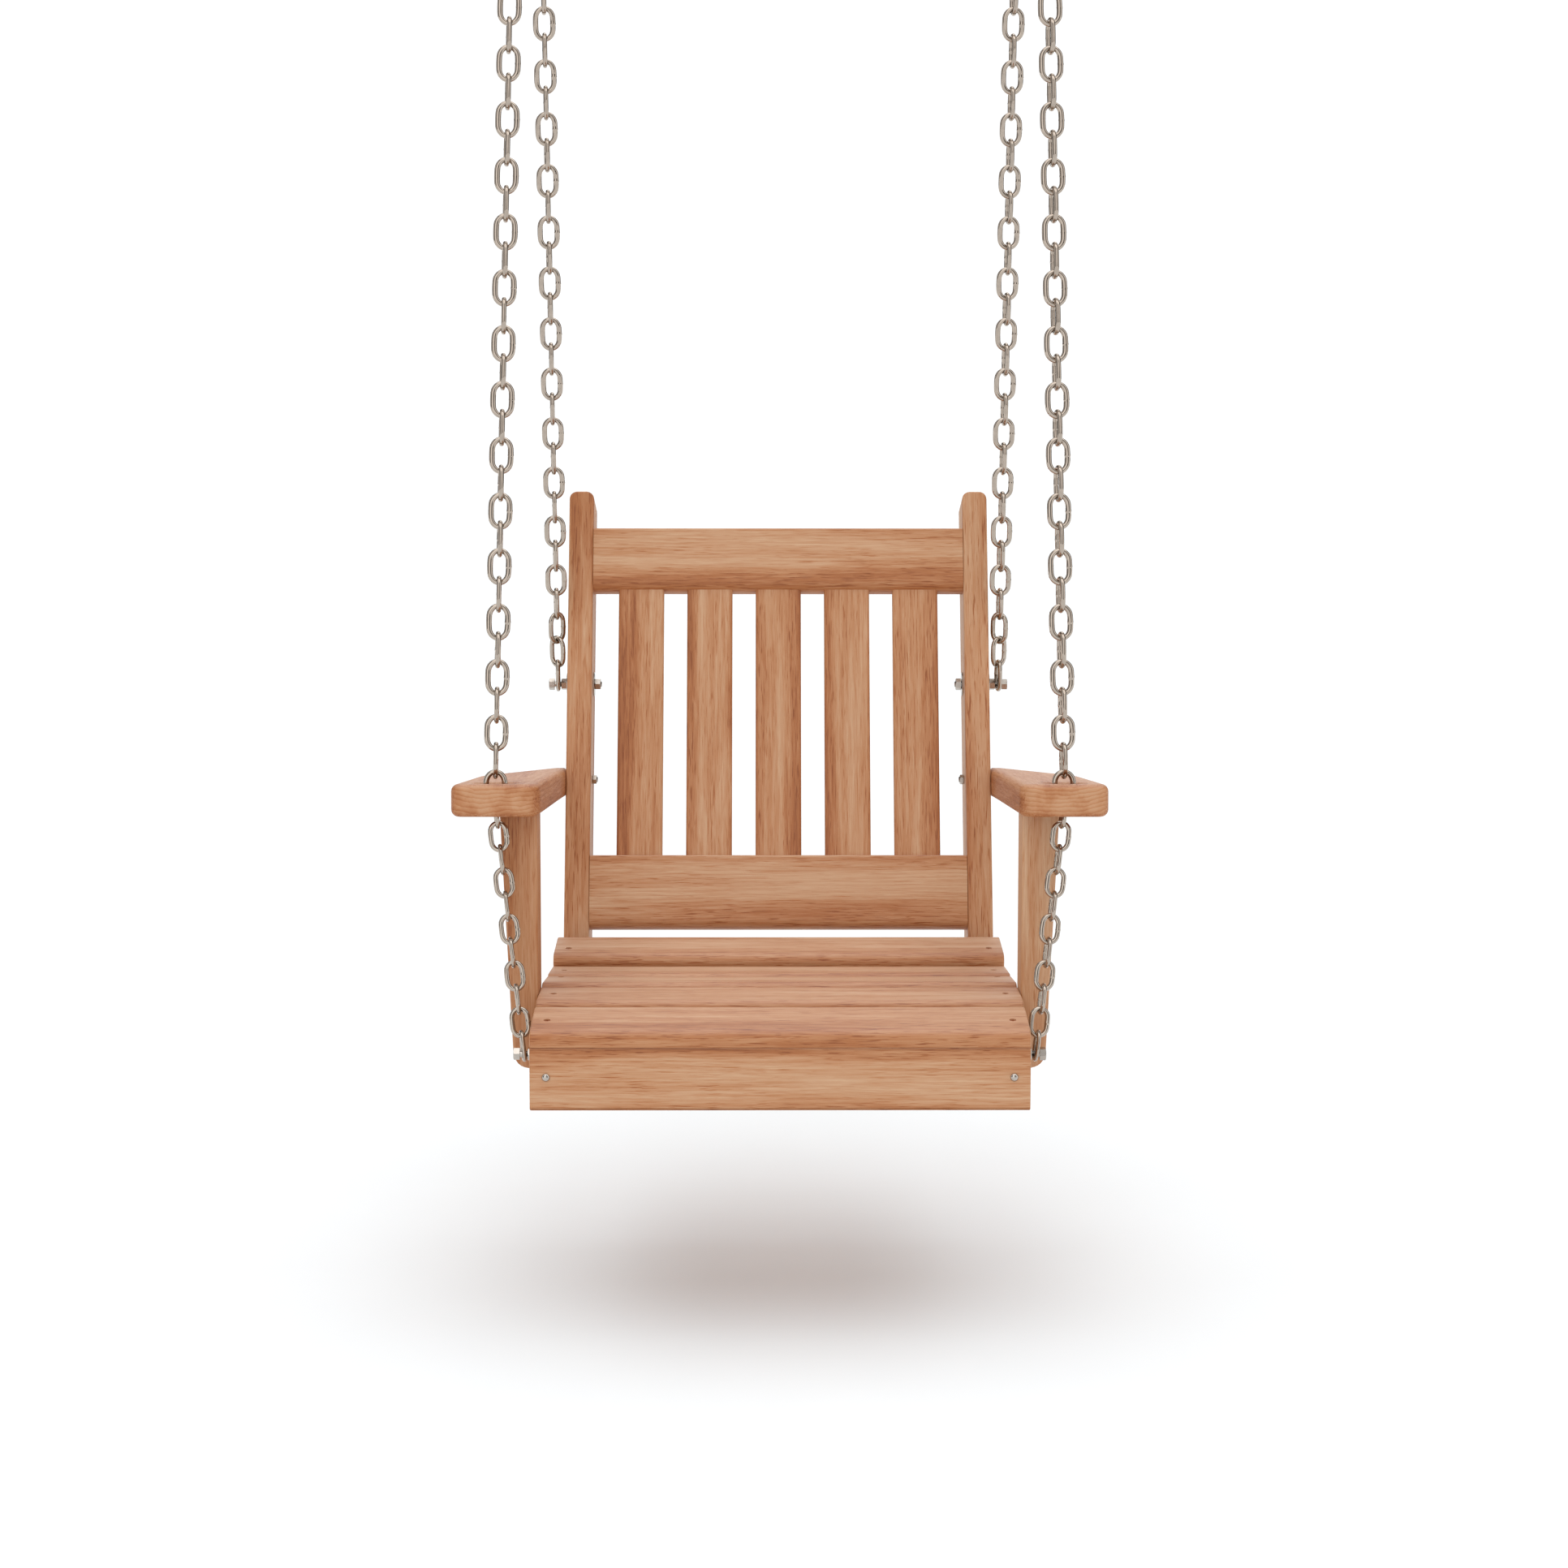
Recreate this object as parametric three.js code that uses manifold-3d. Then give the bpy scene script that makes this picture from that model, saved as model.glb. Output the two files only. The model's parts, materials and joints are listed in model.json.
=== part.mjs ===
// Single-seat porch swing: a cedar chair hung on four steel chains.
// Units are millimetres. +Z is up and +Y points to the back of the chair. Pieces named left stand at -X
// and pieces named right at +X, as seen from in front of the swing.
// The origin lies in the ceiling plane, midway between the four hangers.
// The chair and its chains are modelled in the chair's own frame (origin at the middle of the apron's
// top front edge, legs upright), which is then tilted back to the angle at which the swing hangs.
import * as THREE from 'three';
import Module from 'manifold-3d';
import { mergeVertices } from 'three/addons/utils/BufferGeometryUtils.js';

const wasm = await Module();
wasm.setup();

// ---------------------------------------------------------------- driving dimensions
const GAP = 0.3;                  // clearance between pieces that touch
const BORE_CLEARANCE = 0.3;       // added to a bolt's radius for its hole
const SIDES = [['left', -1], ['right', 1]];

const HANG_TILT = 2.999;          // degrees the hanging chair leans back
const SEAT_WIDTH = 610;
const SEAT_BOARD = 19;            // thickness of the seat slats and the apron
const SEAT_SLAT_WIDTH = 89;
const SEAT_SLAT_PITCH = 95;
// top surface of each seat slat, front to back: height of its front edge and of its rear edge
const SEAT_SLAT_HEIGHTS = [[21.5, 39], [42.5, 47.4], [51, 46], [47.5, 44.6], [58.3, 71.8]];
const NOSE_RADIUS = 16;
const APRON_HEIGHT = 75;
const SIDE_RAIL = { thickness: 38, bottom: -62 };
const STRETCHER = { y: 430, thickness: 28, bottom: -55, top: 22 };

const BACK = { y: 495, z: 67, lean: 15.5 };   // foot of the posts' front faces, and their lean
const POST = { inner: 264, width: 35, depth: 78, bottom: -127, top: 643.5 };
const BACK_RAIL_THICKNESS = 28;
const TOP_RAIL = { bottom: 497.5, top: 589, radius: 15 };
const BOTTOM_RAIL = { bottom: 13, top: 115.5, radius: 12 };
const BACK_SLAT = { count: 5, width: 64.5, pitch: 97.5, thickness: 14, setback: 7, tenon: 12 };

const ARM = { y: 75, z: 316.5, slope: 2.48, thickness: 40.5, length: 547 };
// the right arm's plan: x outwards, y from its front end
const ARM_PLAN = {
  inner: 297, innerCorner: 28, outer: 407, outerCorner: 18,
  taper: 400, straight: [389, 315], elbow: [400, 285], bend: [401, 250],
  rear: 6, rearOuter: { x: 323, corner: 11 },
};
const ARM_HOLE = { x: 355.4, y: 48, radius: 25 };
// the leg seen from the front, and the foot's outer corner
const LEG = { y: 141, depth: 56, bottom: -51, inner: 305.3, topWidth: 47, bottomWidth: 32.5, radius: 24 };

const BOLT = { radius: 4, flats: 14.5, head: 8, nut: 8.3, tip: 1.5 };
const WASHER = { radius: 17, thickness: 2 };
const REAR_BOLT = { y: 39, z: 368.6 };        // in the back's frame
const ARM_BOLT = { y: 39, z: 230, seat: 322, pocket: 12, pocketEnd: 370, flats: 12, nut: 6 };
const FRONT_BOLT = { y: 80, z: -20.3, tip: 282, hole: 280 };
const APRON_SCREW = { x: 285, z: -34.5, radius: 5, head: 3, shank: 2.5, length: 45, hole: 50 };

// links: pitch is the inner length, width the outer width
const CHAIN = { pitch: 34.5, wire: 3.1, width: 29.5 };
const LOWER_CHAIN = { wire: 2.7, width: 25.5, links: 11, clear: 6 };
const FRONT_LINKS = 31;           // from the arm's hole up to the hook
const REAR_LINKS = 29;            // from the post's bolt up to the hook
const CHAIN_HOLE_JOINT = { y: 123, z: 308 };  // centre of the front chain's lowest link
const FRONT_CHAIN_LEAN = { x: -0.022, y: 0.0489 };   // per unit of height, going up
const REAR_CHAIN_LEAN = { x: 0.0018, y: -0.1673 };
const LINK_PLAY = 3.4;            // room beside an end link, between its nut and its bolt's head
const HOOK = { wire: 4, top: 18, bottom: 12, centres: 34 };
const REAR_HOOK_PLAY = 2.5;       // room over the rear eyes, for the chains' swing
const EYE = { wire: 4, radius: 14, frontDrop: 66 };
const PLATE = { x: 76, y: 34, thickness: 5, screw: 3.2, screwX: 27, corner: 10 };

const ROUND = 16;                 // sides of a bolt's shank and of its hole
const THIN_ROUND = 12;            // sides of a screw's shank and of its hole
const OVERCUT = 10;               // how far a cutting tool runs past the wood

// ---------------------------------------------------------------- materials
function finish(color, roughness, metalness) {
  return new THREE.MeshStandardMaterial({ color, roughness, metalness });
}
const materials = {
  cedar: () => finish(0xc08a66, 0.62, 0),
  steel: () => finish(0xcfc8bf, 0.28, 1),
};

// ---------------------------------------------------------------- helpers
const radians = THREE.MathUtils.degToRad;

function toManifold(geometry) {
  const bare = geometry.clone();
  bare.deleteAttribute('normal');
  bare.deleteAttribute('uv');
  const merged = mergeVertices(bare, 1e-4);
  const mesh = new wasm.Mesh({
    numProp: 3,
    vertProperties: new Float32Array(merged.attributes.position.array),
    triVerts: new Uint32Array(merged.index.array),
  });
  return new wasm.Manifold(mesh);
}

function toGeometry(solid) {
  const mesh = solid.getMesh();
  const geometry = new THREE.BufferGeometry();
  geometry.setAttribute('position', new THREE.BufferAttribute(new Float32Array(mesh.vertProperties), 3));
  geometry.setIndex(new THREE.BufferAttribute(new Uint32Array(mesh.triVerts), 1));
  geometry.computeVertexNormals();
  return geometry;
}

function cut(geometry, ...tools) {
  return toGeometry(tools.reduce((solid, tool) => solid.subtract(toManifold(tool)), toManifold(geometry)));
}

function join(geometry, ...others) {
  return toGeometry(others.reduce((solid, other) => solid.add(toManifold(other)), toManifold(geometry)));
}

// A box given by its lowest and highest corners.
function block(x0, x1, y0, y1, z0, z1) {
  const geometry = new THREE.BoxGeometry(x1 - x0, y1 - y0, z1 - z0);
  return geometry.translate((x0 + x1) / 2, (y0 + y1) / 2, (z0 + z1) / 2);
}

// A (y, z) outline extruded along X from x0 to x1.
function alongX(shape, x0, x1) {
  const geometry = new THREE.ExtrudeGeometry(shape, {
    depth: x1 - x0, bevelEnabled: false, curveSegments: 6,
  });
  const basis = new THREE.Matrix4().makeBasis(
    new THREE.Vector3(0, 1, 0), new THREE.Vector3(0, 0, 1), new THREE.Vector3(1, 0, 0));
  return geometry.applyMatrix4(basis).translate(x0, 0, 0);
}

// A round bar along X.
function roundX(radius, x0, x1, y = 0, z = 0, sides = ROUND) {
  const geometry = new THREE.CylinderGeometry(radius, radius, Math.abs(x1 - x0), sides);
  return geometry.rotateZ(Math.PI / 2).translate((x0 + x1) / 2, y, z);
}

// A hexagonal outline, with an optional round hole.
function hexagon(flats, bore = 0) {
  const corner = flats / Math.sqrt(3);
  const shape = new THREE.Shape();
  for (let i = 0; i < 6; i += 1) {
    const angle = radians(60 * i + 30);
    const point = [corner * Math.cos(angle), corner * Math.sin(angle)];
    if (i === 0) shape.moveTo(...point);
    else shape.lineTo(...point);
  }
  shape.closePath();
  if (bore > 0) {
    const hole = new THREE.Path();
    hole.absarc(0, 0, bore, 0, 2 * Math.PI, true);
    shape.holes.push(hole);
  }
  return shape;
}

// The same geometry on the given side; it is drawn for the right-hand one.
function mirrored(geometry, side) {
  if (side > 0) return geometry;
  const flipped = geometry.clone().scale(-1, 1, 1);
  const index = flipped.index
    ? Array.from(flipped.index.array)
    : [...Array(flipped.attributes.position.count).keys()];
  for (let i = 0; i < index.length; i += 3) {
    [index[i], index[i + 1]] = [index[i + 1], index[i]];
  }
  flipped.setIndex(index);
  flipped.computeVertexNormals();
  return flipped;
}

function place(parent, name, geometry, material) {
  const mesh = new THREE.Mesh(geometry, material());
  mesh.name = name;
  parent.add(mesh);
  return mesh;
}

// ---------------------------------------------------------------- groups
const model = new THREE.Group();      // level, origin in the ceiling plane
const chair = new THREE.Group();      // the chair's own frame
const back = new THREE.Group();       // the leaning back: y from its front face, z along the posts
const arms = new THREE.Group();       // the sloping arms: y from their front ends, z from their tops
model.add(chair);
chair.add(back, arms);
back.position.set(0, BACK.y, BACK.z);
back.rotation.x = -radians(BACK.lean);
arms.position.set(0, ARM.y, ARM.z);
arms.rotation.x = -radians(ARM.slope);
back.updateMatrix();
arms.updateMatrix();

// ---------------------------------------------------------------- seat
const halfSeat = SEAT_WIDTH / 2;

function seatSlat(index) {
  const [front, rear] = SEAT_SLAT_HEIGHTS[index];
  const y = index * SEAT_SLAT_PITCH;
  return { y, z: front, tilt: Math.atan2(rear - front, SEAT_SLAT_WIDTH) };
}

// A slat's section in its own frame. The front slat's nose is upright in the chair, under a big round.
function slatOutline(isNose, tilt) {
  const shape = new THREE.Shape();
  if (isNose) {
    const touch = NOSE_RADIUS * Math.tan((Math.PI / 2 - tilt) / 2);
    shape.moveTo(-SEAT_BOARD * Math.tan(tilt), -SEAT_BOARD);
    shape.absarc(touch, -NOSE_RADIUS, NOSE_RADIUS, Math.PI - tilt, Math.PI / 2, true);
  } else {
    shape.moveTo(0, -SEAT_BOARD);
    shape.lineTo(0, 0);
  }
  shape.lineTo(SEAT_SLAT_WIDTH, 0);
  shape.lineTo(SEAT_SLAT_WIDTH, -SEAT_BOARD);
  shape.closePath();
  return shape;
}

SEAT_SLAT_HEIGHTS.forEach((heights, index) => {
  const slat = seatSlat(index);
  const geometry = alongX(slatOutline(index === 0, slat.tilt), -halfSeat, halfSeat);
  const mesh = place(chair, `seat_slat_${index + 1}`, geometry, materials.cedar);
  mesh.position.set(0, slat.y, slat.z);
  mesh.rotation.x = slat.tilt;
});

// The apron's top is planed to the front slat's underside.
function apronOutline() {
  const { z, tilt } = seatSlat(0);
  const top = z - (SEAT_BOARD + GAP) / Math.cos(tilt);
  const shape = new THREE.Shape();
  shape.moveTo(0, -APRON_HEIGHT);
  shape.lineTo(0, top);
  shape.lineTo(SEAT_BOARD, top + SEAT_BOARD * Math.tan(tilt));
  shape.lineTo(SEAT_BOARD, -APRON_HEIGHT);
  shape.closePath();
  return shape;
}

// The hole for the screw that holds the apron to a side rail.
function apronScrewHole(side) {
  const radius = APRON_SCREW.shank + BORE_CLEARANCE;
  return new THREE.CylinderGeometry(radius, radius, 2 * APRON_SCREW.hole, THIN_ROUND)
    .translate(side * APRON_SCREW.x, 0, APRON_SCREW.z);
}

place(chair, 'apron', cut(
  alongX(apronOutline(), -halfSeat, halfSeat),
  ...SIDES.map(([, side]) => apronScrewHole(side)),
), materials.cedar);

// The side rails: their tops are sawn in facets that carry the slats, their rear ends follow the posts.
function sideRailOutline() {
  const shape = new THREE.Shape();
  const lean = Math.tan(radians(BACK.lean));
  const postFace = (z) => BACK.y + (z - BACK.z) * lean - GAP / Math.cos(radians(BACK.lean));
  const front = SEAT_BOARD + GAP;
  shape.moveTo(front, SIDE_RAIL.bottom);
  SEAT_SLAT_HEIGHTS.forEach((heights, index) => {
    const slat = seatSlat(index);
    const drop = SEAT_BOARD + GAP;
    const startX = slat.y + drop * Math.sin(slat.tilt);
    const startZ = slat.z - drop * Math.cos(slat.tilt);
    const y0 = Math.max(front, slat.y - (SEAT_SLAT_PITCH - SEAT_SLAT_WIDTH) / 2);
    const y1 = slat.y + (SEAT_SLAT_PITCH + SEAT_SLAT_WIDTH) / 2;
    shape.lineTo(y0, startZ + (y0 - startX) * Math.tan(slat.tilt));
    if (index < SEAT_SLAT_HEIGHTS.length - 1) {
      shape.lineTo(y1 - 0.01, startZ + (y1 - startX) * Math.tan(slat.tilt));
    } else {
      const z1 = slat.z + SEAT_SLAT_WIDTH * Math.tan(slat.tilt) - drop * Math.cos(slat.tilt);
      shape.lineTo(postFace(z1), z1);
    }
  });
  shape.lineTo(postFace(SIDE_RAIL.bottom), SIDE_RAIL.bottom);
  shape.closePath();
  return shape;
}

for (const [name, side] of SIDES) {
  const rail = alongX(sideRailOutline(), halfSeat - SIDE_RAIL.thickness, halfSeat);
  const boltHole = roundX(BOLT.radius + BORE_CLEARANCE, FRONT_BOLT.hole, halfSeat + OVERCUT,
    FRONT_BOLT.y, FRONT_BOLT.z);
  const bored = cut(rail, boltHole, apronScrewHole(1));
  place(chair, `seat_side_rail_${name}`, mirrored(bored, side), materials.cedar);
}

const stretcherHalf = halfSeat - SIDE_RAIL.thickness - GAP;
place(chair, 'rear_stretcher', block(-stretcherHalf, stretcherHalf, STRETCHER.y,
  STRETCHER.y + STRETCHER.thickness, STRETCHER.bottom, STRETCHER.top), materials.cedar);

// ---------------------------------------------------------------- back
const postOuter = POST.inner + POST.width;

for (const [name, side] of SIDES) {
  const post = block(POST.inner, postOuter, 0, POST.depth, POST.bottom, POST.top);
  const bores = [REAR_BOLT, ARM_BOLT].map((bolt) => roundX(
    BOLT.radius + BORE_CLEARANCE, POST.inner - OVERCUT, postOuter + OVERCUT, bolt.y, bolt.z));
  place(back, `back_post_${name}`, mirrored(cut(post, ...bores), side), materials.cedar);
}

// Both rails have their lower front edge worked to a large round.
function railOutline(rail) {
  const shape = new THREE.Shape();
  shape.moveTo(rail.radius, rail.bottom);
  shape.absarc(rail.radius, rail.bottom + rail.radius, rail.radius, -Math.PI / 2, -Math.PI, true);
  shape.lineTo(0, rail.top);
  shape.lineTo(BACK_RAIL_THICKNESS, rail.top);
  shape.lineTo(BACK_RAIL_THICKNESS, rail.bottom);
  shape.closePath();
  return shape;
}

const slatX = (index) => (index - (BACK_SLAT.count - 1) / 2) * BACK_SLAT.pitch;
const slatY = [BACK_SLAT.setback, BACK_SLAT.setback + BACK_SLAT.thickness];

function mortise(index, z0, z1) {
  const half = BACK_SLAT.width / 2 + GAP;
  return block(slatX(index) - half, slatX(index) + half, slatY[0] - GAP, slatY[1] + GAP, z0, z1);
}

for (const [name, rail, z0, z1] of [
  ['back_top_rail', TOP_RAIL, TOP_RAIL.bottom - 1, TOP_RAIL.bottom + BACK_SLAT.tenon + GAP],
  ['back_bottom_rail', BOTTOM_RAIL, BOTTOM_RAIL.top - BACK_SLAT.tenon - GAP, BOTTOM_RAIL.top + 1],
]) {
  const half = POST.inner - GAP;
  const slatNumbers = [...Array(BACK_SLAT.count).keys()];
  const slots = slatNumbers.map((index) => mortise(index, z0, z1));
  place(back, name, cut(alongX(railOutline(rail), -half, half), ...slots), materials.cedar);
}

for (let index = 0; index < BACK_SLAT.count; index += 1) {
  const x = slatX(index);
  const half = BACK_SLAT.width / 2;
  place(back, `back_slat_${index + 1}`, block(x - half, x + half, ...slatY,
    BOTTOM_RAIL.top - BACK_SLAT.tenon, TOP_RAIL.bottom + BACK_SLAT.tenon), materials.cedar);
}

// ---------------------------------------------------------------- arms and legs
// The right arm seen from above: wide at the front, drawn in towards the post at the rear.
function armOutline() {
  const { inner, innerCorner, outer, outerCorner } = ARM_PLAN;
  const { taper, bend, elbow, straight, rear, rearOuter } = ARM_PLAN;
  const length = ARM.length;
  const post = postOuter + GAP;
  const shape = new THREE.Shape();
  shape.moveTo(inner + innerCorner, 0);
  shape.quadraticCurveTo(inner, 0, inner, innerCorner);
  shape.lineTo(post, taper);
  shape.lineTo(post, length - rear);
  shape.quadraticCurveTo(post, length, post + rear, length);
  shape.lineTo(rearOuter.x - rearOuter.corner, length);
  shape.quadraticCurveTo(rearOuter.x, length, rearOuter.x + 4, length - rearOuter.corner);
  shape.lineTo(...straight);
  shape.quadraticCurveTo(...elbow, ...bend);
  shape.lineTo(outer, outerCorner);
  shape.quadraticCurveTo(outer, 0, outer - outerCorner, 0);
  shape.closePath();
  const hole = new THREE.Path();
  hole.absarc(ARM_HOLE.x, ARM_HOLE.y, ARM_HOLE.radius, 0, 2 * Math.PI, false);
  shape.holes.push(hole);
  return shape;
}

// Moves a geometry from one group's frame into another's, both children of the chair.
function between(geometry, from, to) {
  return geometry.applyMatrix4(from.matrix).applyMatrix4(to.matrix.clone().invert());
}

for (const [name, side] of SIDES) {
  const slab = new THREE.ExtrudeGeometry(armOutline(), {
    depth: ARM.thickness, bevelEnabled: false, curveSegments: 8,
  }).translate(0, 0, -ARM.thickness);
  const bore = roundX(BOLT.radius + BORE_CLEARANCE, postOuter - OVERCUT, ARM_BOLT.seat + OVERCUT,
    ARM_BOLT.y, ARM_BOLT.z);
  const pocket = roundX(ARM_BOLT.pocket, ARM_BOLT.seat, ARM_BOLT.pocketEnd, ARM_BOLT.y, ARM_BOLT.z);
  const tools = [bore, pocket].map((tool) => between(tool, back, arms));
  place(arms, `arm_${name}`, mirrored(cut(slab, ...tools), side), materials.cedar);
}

// The right leg seen from the front: its inner face is upright, its outer face draws in downwards.
function legOutline() {
  const shape = new THREE.Shape();
  const inner = LEG.inner;
  const top = ARM.z;
  const outerFoot = inner + LEG.bottomWidth;
  shape.moveTo(inner, LEG.bottom);
  shape.lineTo(inner, top);
  shape.lineTo(inner + LEG.topWidth, top);
  shape.lineTo(outerFoot, LEG.bottom + LEG.radius);
  shape.quadraticCurveTo(outerFoot - 1, LEG.bottom, outerFoot - LEG.radius, LEG.bottom);
  shape.closePath();
  return shape;
}

for (const [name, side] of SIDES) {
  const leg = new THREE.ExtrudeGeometry(legOutline(), {
    depth: LEG.depth, bevelEnabled: false, curveSegments: 8,
  }).rotateX(Math.PI / 2).translate(0, LEG.y + LEG.depth, 0);
  const farOut = LEG.inner + 2 * LEG.topWidth;
  const aboveArm = block(0, farOut, 0, ARM.length, -ARM.thickness - GAP, ARM.thickness)
    .applyMatrix4(arms.matrix);
  place(chair, `arm_leg_${name}`, mirrored(cut(leg, aboveArm), side), materials.cedar);
}

// ---------------------------------------------------------------- bolts and nuts
// A hexagon bolt along X: its head's bearing face is at x = seat, its shank runs inwards to x = tip.
function hexBolt(seat, tip, y, z) {
  const head = alongX(hexagon(BOLT.flats), 0, BOLT.head).translate(seat, y, z);
  return join(head, roundX(BOLT.radius, tip, seat + 1, y, z));
}

function nut(x0, y, z, flats = BOLT.flats, height = BOLT.nut) {
  return alongX(hexagon(flats, BOLT.radius + BORE_CLEARANCE), 0, height).translate(x0, y, z);
}

// A nut with its washer, which lies against a face at x = face; the nut stands off towards +X or -X.
function washerNut(face, towards, y, z) {
  const washerEnd = face + towards * WASHER.thickness;
  const nutEnd = washerEnd + towards * BOLT.nut;
  const washer = roundX(WASHER.radius, Math.min(face, washerEnd), Math.max(face, washerEnd), y, z, 24);
  const hole = roundX(BOLT.radius + BORE_CLEARANCE, Math.min(face, nutEnd) - OVERCUT,
    Math.max(face, nutEnd) + OVERCUT, y, z);
  const body = alongX(hexagon(BOLT.flats), 0, BOLT.nut + 0.5)
    .translate(Math.min(nutEnd, washerEnd - 0.5), y, z);
  return cut(join(washer, body), hole);
}

const linkRoom = 2 * CHAIN.wire + LINK_PLAY;
const rearNutEnd = postOuter + GAP + WASHER.thickness + BOLT.nut;
const rearHeadSeat = rearNutEnd + linkRoom;
const rearLinkX = rearNutEnd + linkRoom / 2;
const frontHeadSeat = halfSeat + GAP + BOLT.nut + linkRoom;
const frontLinkX = halfSeat + GAP + BOLT.nut + linkRoom / 2;
const innerTip = POST.inner - GAP - WASHER.thickness - BOLT.nut - BOLT.tip;
const armNutEnd = POST.inner - GAP - ARM_BOLT.nut;
const armBoltTip = armNutEnd - BOLT.tip;

for (const [name, side] of SIDES) {
  const pieces = [
    [back, 'rear_chain_bolt', hexBolt(rearHeadSeat, innerTip, REAR_BOLT.y, REAR_BOLT.z)],
    [back, 'rear_chain_jam_nut', washerNut(postOuter + GAP, 1, REAR_BOLT.y, REAR_BOLT.z)],
    [back, 'rear_chain_inner_nut', washerNut(POST.inner - GAP, -1, REAR_BOLT.y, REAR_BOLT.z)],
    [back, 'arm_bolt', hexBolt(ARM_BOLT.seat + GAP, armBoltTip, ARM_BOLT.y, ARM_BOLT.z)],
    [back, 'arm_bolt_nut', nut(armNutEnd, ARM_BOLT.y, ARM_BOLT.z, ARM_BOLT.flats, ARM_BOLT.nut)],
    [chair, 'front_chain_bolt', hexBolt(frontHeadSeat, FRONT_BOLT.tip, FRONT_BOLT.y, FRONT_BOLT.z)],
    [chair, 'front_chain_jam_nut', nut(halfSeat + GAP, FRONT_BOLT.y, FRONT_BOLT.z)],
  ];
  for (const [parent, piece, geometry] of pieces) {
    place(parent, `${piece}_${name}`, mirrored(geometry, side), materials.steel);
  }
  const { x, z, radius, head, shank, length } = APRON_SCREW;
  const screwHead = new THREE.CylinderGeometry(radius, radius, head, ROUND).translate(0, -GAP - head / 2, 0);
  const screwShank = new THREE.CylinderGeometry(shank, shank, length, THIN_ROUND)
    .translate(0, length / 2 - GAP - 1, 0);
  const screw = join(screwHead, screwShank).translate(side * x, 0, z);
  place(chair, `apron_screw_${name}`, screw, materials.steel);
}

// ---------------------------------------------------------------- chains
// One oval link, lying in its local XZ plane: a ring whose two halves are drawn apart.
function link(chain, sides = 8, steps = 24) {
  const ringRadius = chain.width / 2 - chain.wire;
  const stretch = chain.pitch / 2 + chain.wire - ringRadius;
  const ring = new THREE.TorusGeometry(ringRadius, chain.wire, sides, steps).rotateX(Math.PI / 2);
  const position = ring.attributes.position;
  for (let i = 0; i < position.count; i += 1) {
    const z = position.getZ(i);
    const shift = z > 1e-6 ? stretch : -stretch;
    position.setZ(i, z + shift);
  }
  return toGeometry(toManifold(ring));
}

// What stands in for a run of alternating links: two crossed webs along local Z, as wide as the links
// and as thick as gives the run the weight of its links.
function chainBar(chain, length) {
  const bend = chain.width / 2 - chain.wire;
  const loop = Math.PI * bend + chain.pitch + 2 * chain.wire - 2 * bend;
  const area = Math.PI * chain.wire ** 2 * 2 * loop / chain.pitch;
  const far = chain.width / 2;
  const near = (chain.width - Math.sqrt(chain.width ** 2 - area)) / 2;
  const shape = new THREE.Shape();
  const corners = [[far, near], [near, near], [near, far], [-near, far], [-near, near], [-far, near],
    [-far, -near], [-near, -near], [-near, -far], [near, -far], [near, -near], [far, -near]];
  corners.forEach(([x, y], i) => (i === 0 ? shape.moveTo(x, y) : shape.lineTo(x, y)));
  shape.closePath();
  return new THREE.ExtrudeGeometry(shape, { depth: length, bevelEnabled: false });
}

// Turns local Z along a direction while local X stays as close to the X axis as it can.
function aim(mesh, direction, turn = 0) {
  const z = direction.clone().normalize();
  const y = new THREE.Vector3().crossVectors(z, new THREE.Vector3(1, 0, 0)).normalize();
  const x = new THREE.Vector3().crossVectors(y, z);
  mesh.quaternion.setFromRotationMatrix(new THREE.Matrix4().makeBasis(x, y, z));
  mesh.rotateZ(turn);
}

// The S-shaped hook, in its local YZ plane: its lower bend's centre line passes through the origin,
// its upper bend's through z = top + bottom + centres.
function hookGeometry() {
  const points = [];
  const lowCentre = HOOK.bottom;
  const highCentre = lowCentre + HOOK.centres;
  const onBend = (radius, centre, angle) => [
    radius * Math.cos(radians(angle)), centre + radius * Math.sin(radians(angle))];
  for (let angle = 200; angle <= 360; angle += 20) {
    points.push(onBend(HOOK.bottom, lowCentre, angle));
  }
  for (let angle = 180; angle >= -20; angle -= 20) {
    points.push(onBend(HOOK.top, highCentre, angle));
  }
  const path = new THREE.CatmullRomCurve3(points.map(([y, z]) => new THREE.Vector3(0, y, z)));
  const section = new THREE.Shape();
  section.absarc(0, 0, HOOK.wire, 0, 2 * Math.PI);
  return new THREE.ExtrudeGeometry(section, { steps: 44, extrudePath: path, curveSegments: 4 });
}

const hookSpan = HOOK.top + HOOK.bottom + HOOK.centres;
const linkSeat = CHAIN.pitch / 2 - HOOK.wire - GAP;          // hook's lower bend above a link's centre
const eyeSeat = HOOK.wire + EYE.wire + GAP;                  // hook's upper bend above an eye's wire
const boltSeat = (chain) => chain.pitch / 2 - BOLT.radius - GAP;
const linkHalf = (chain) => chain.pitch / 2 + 2 * chain.wire;

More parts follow.
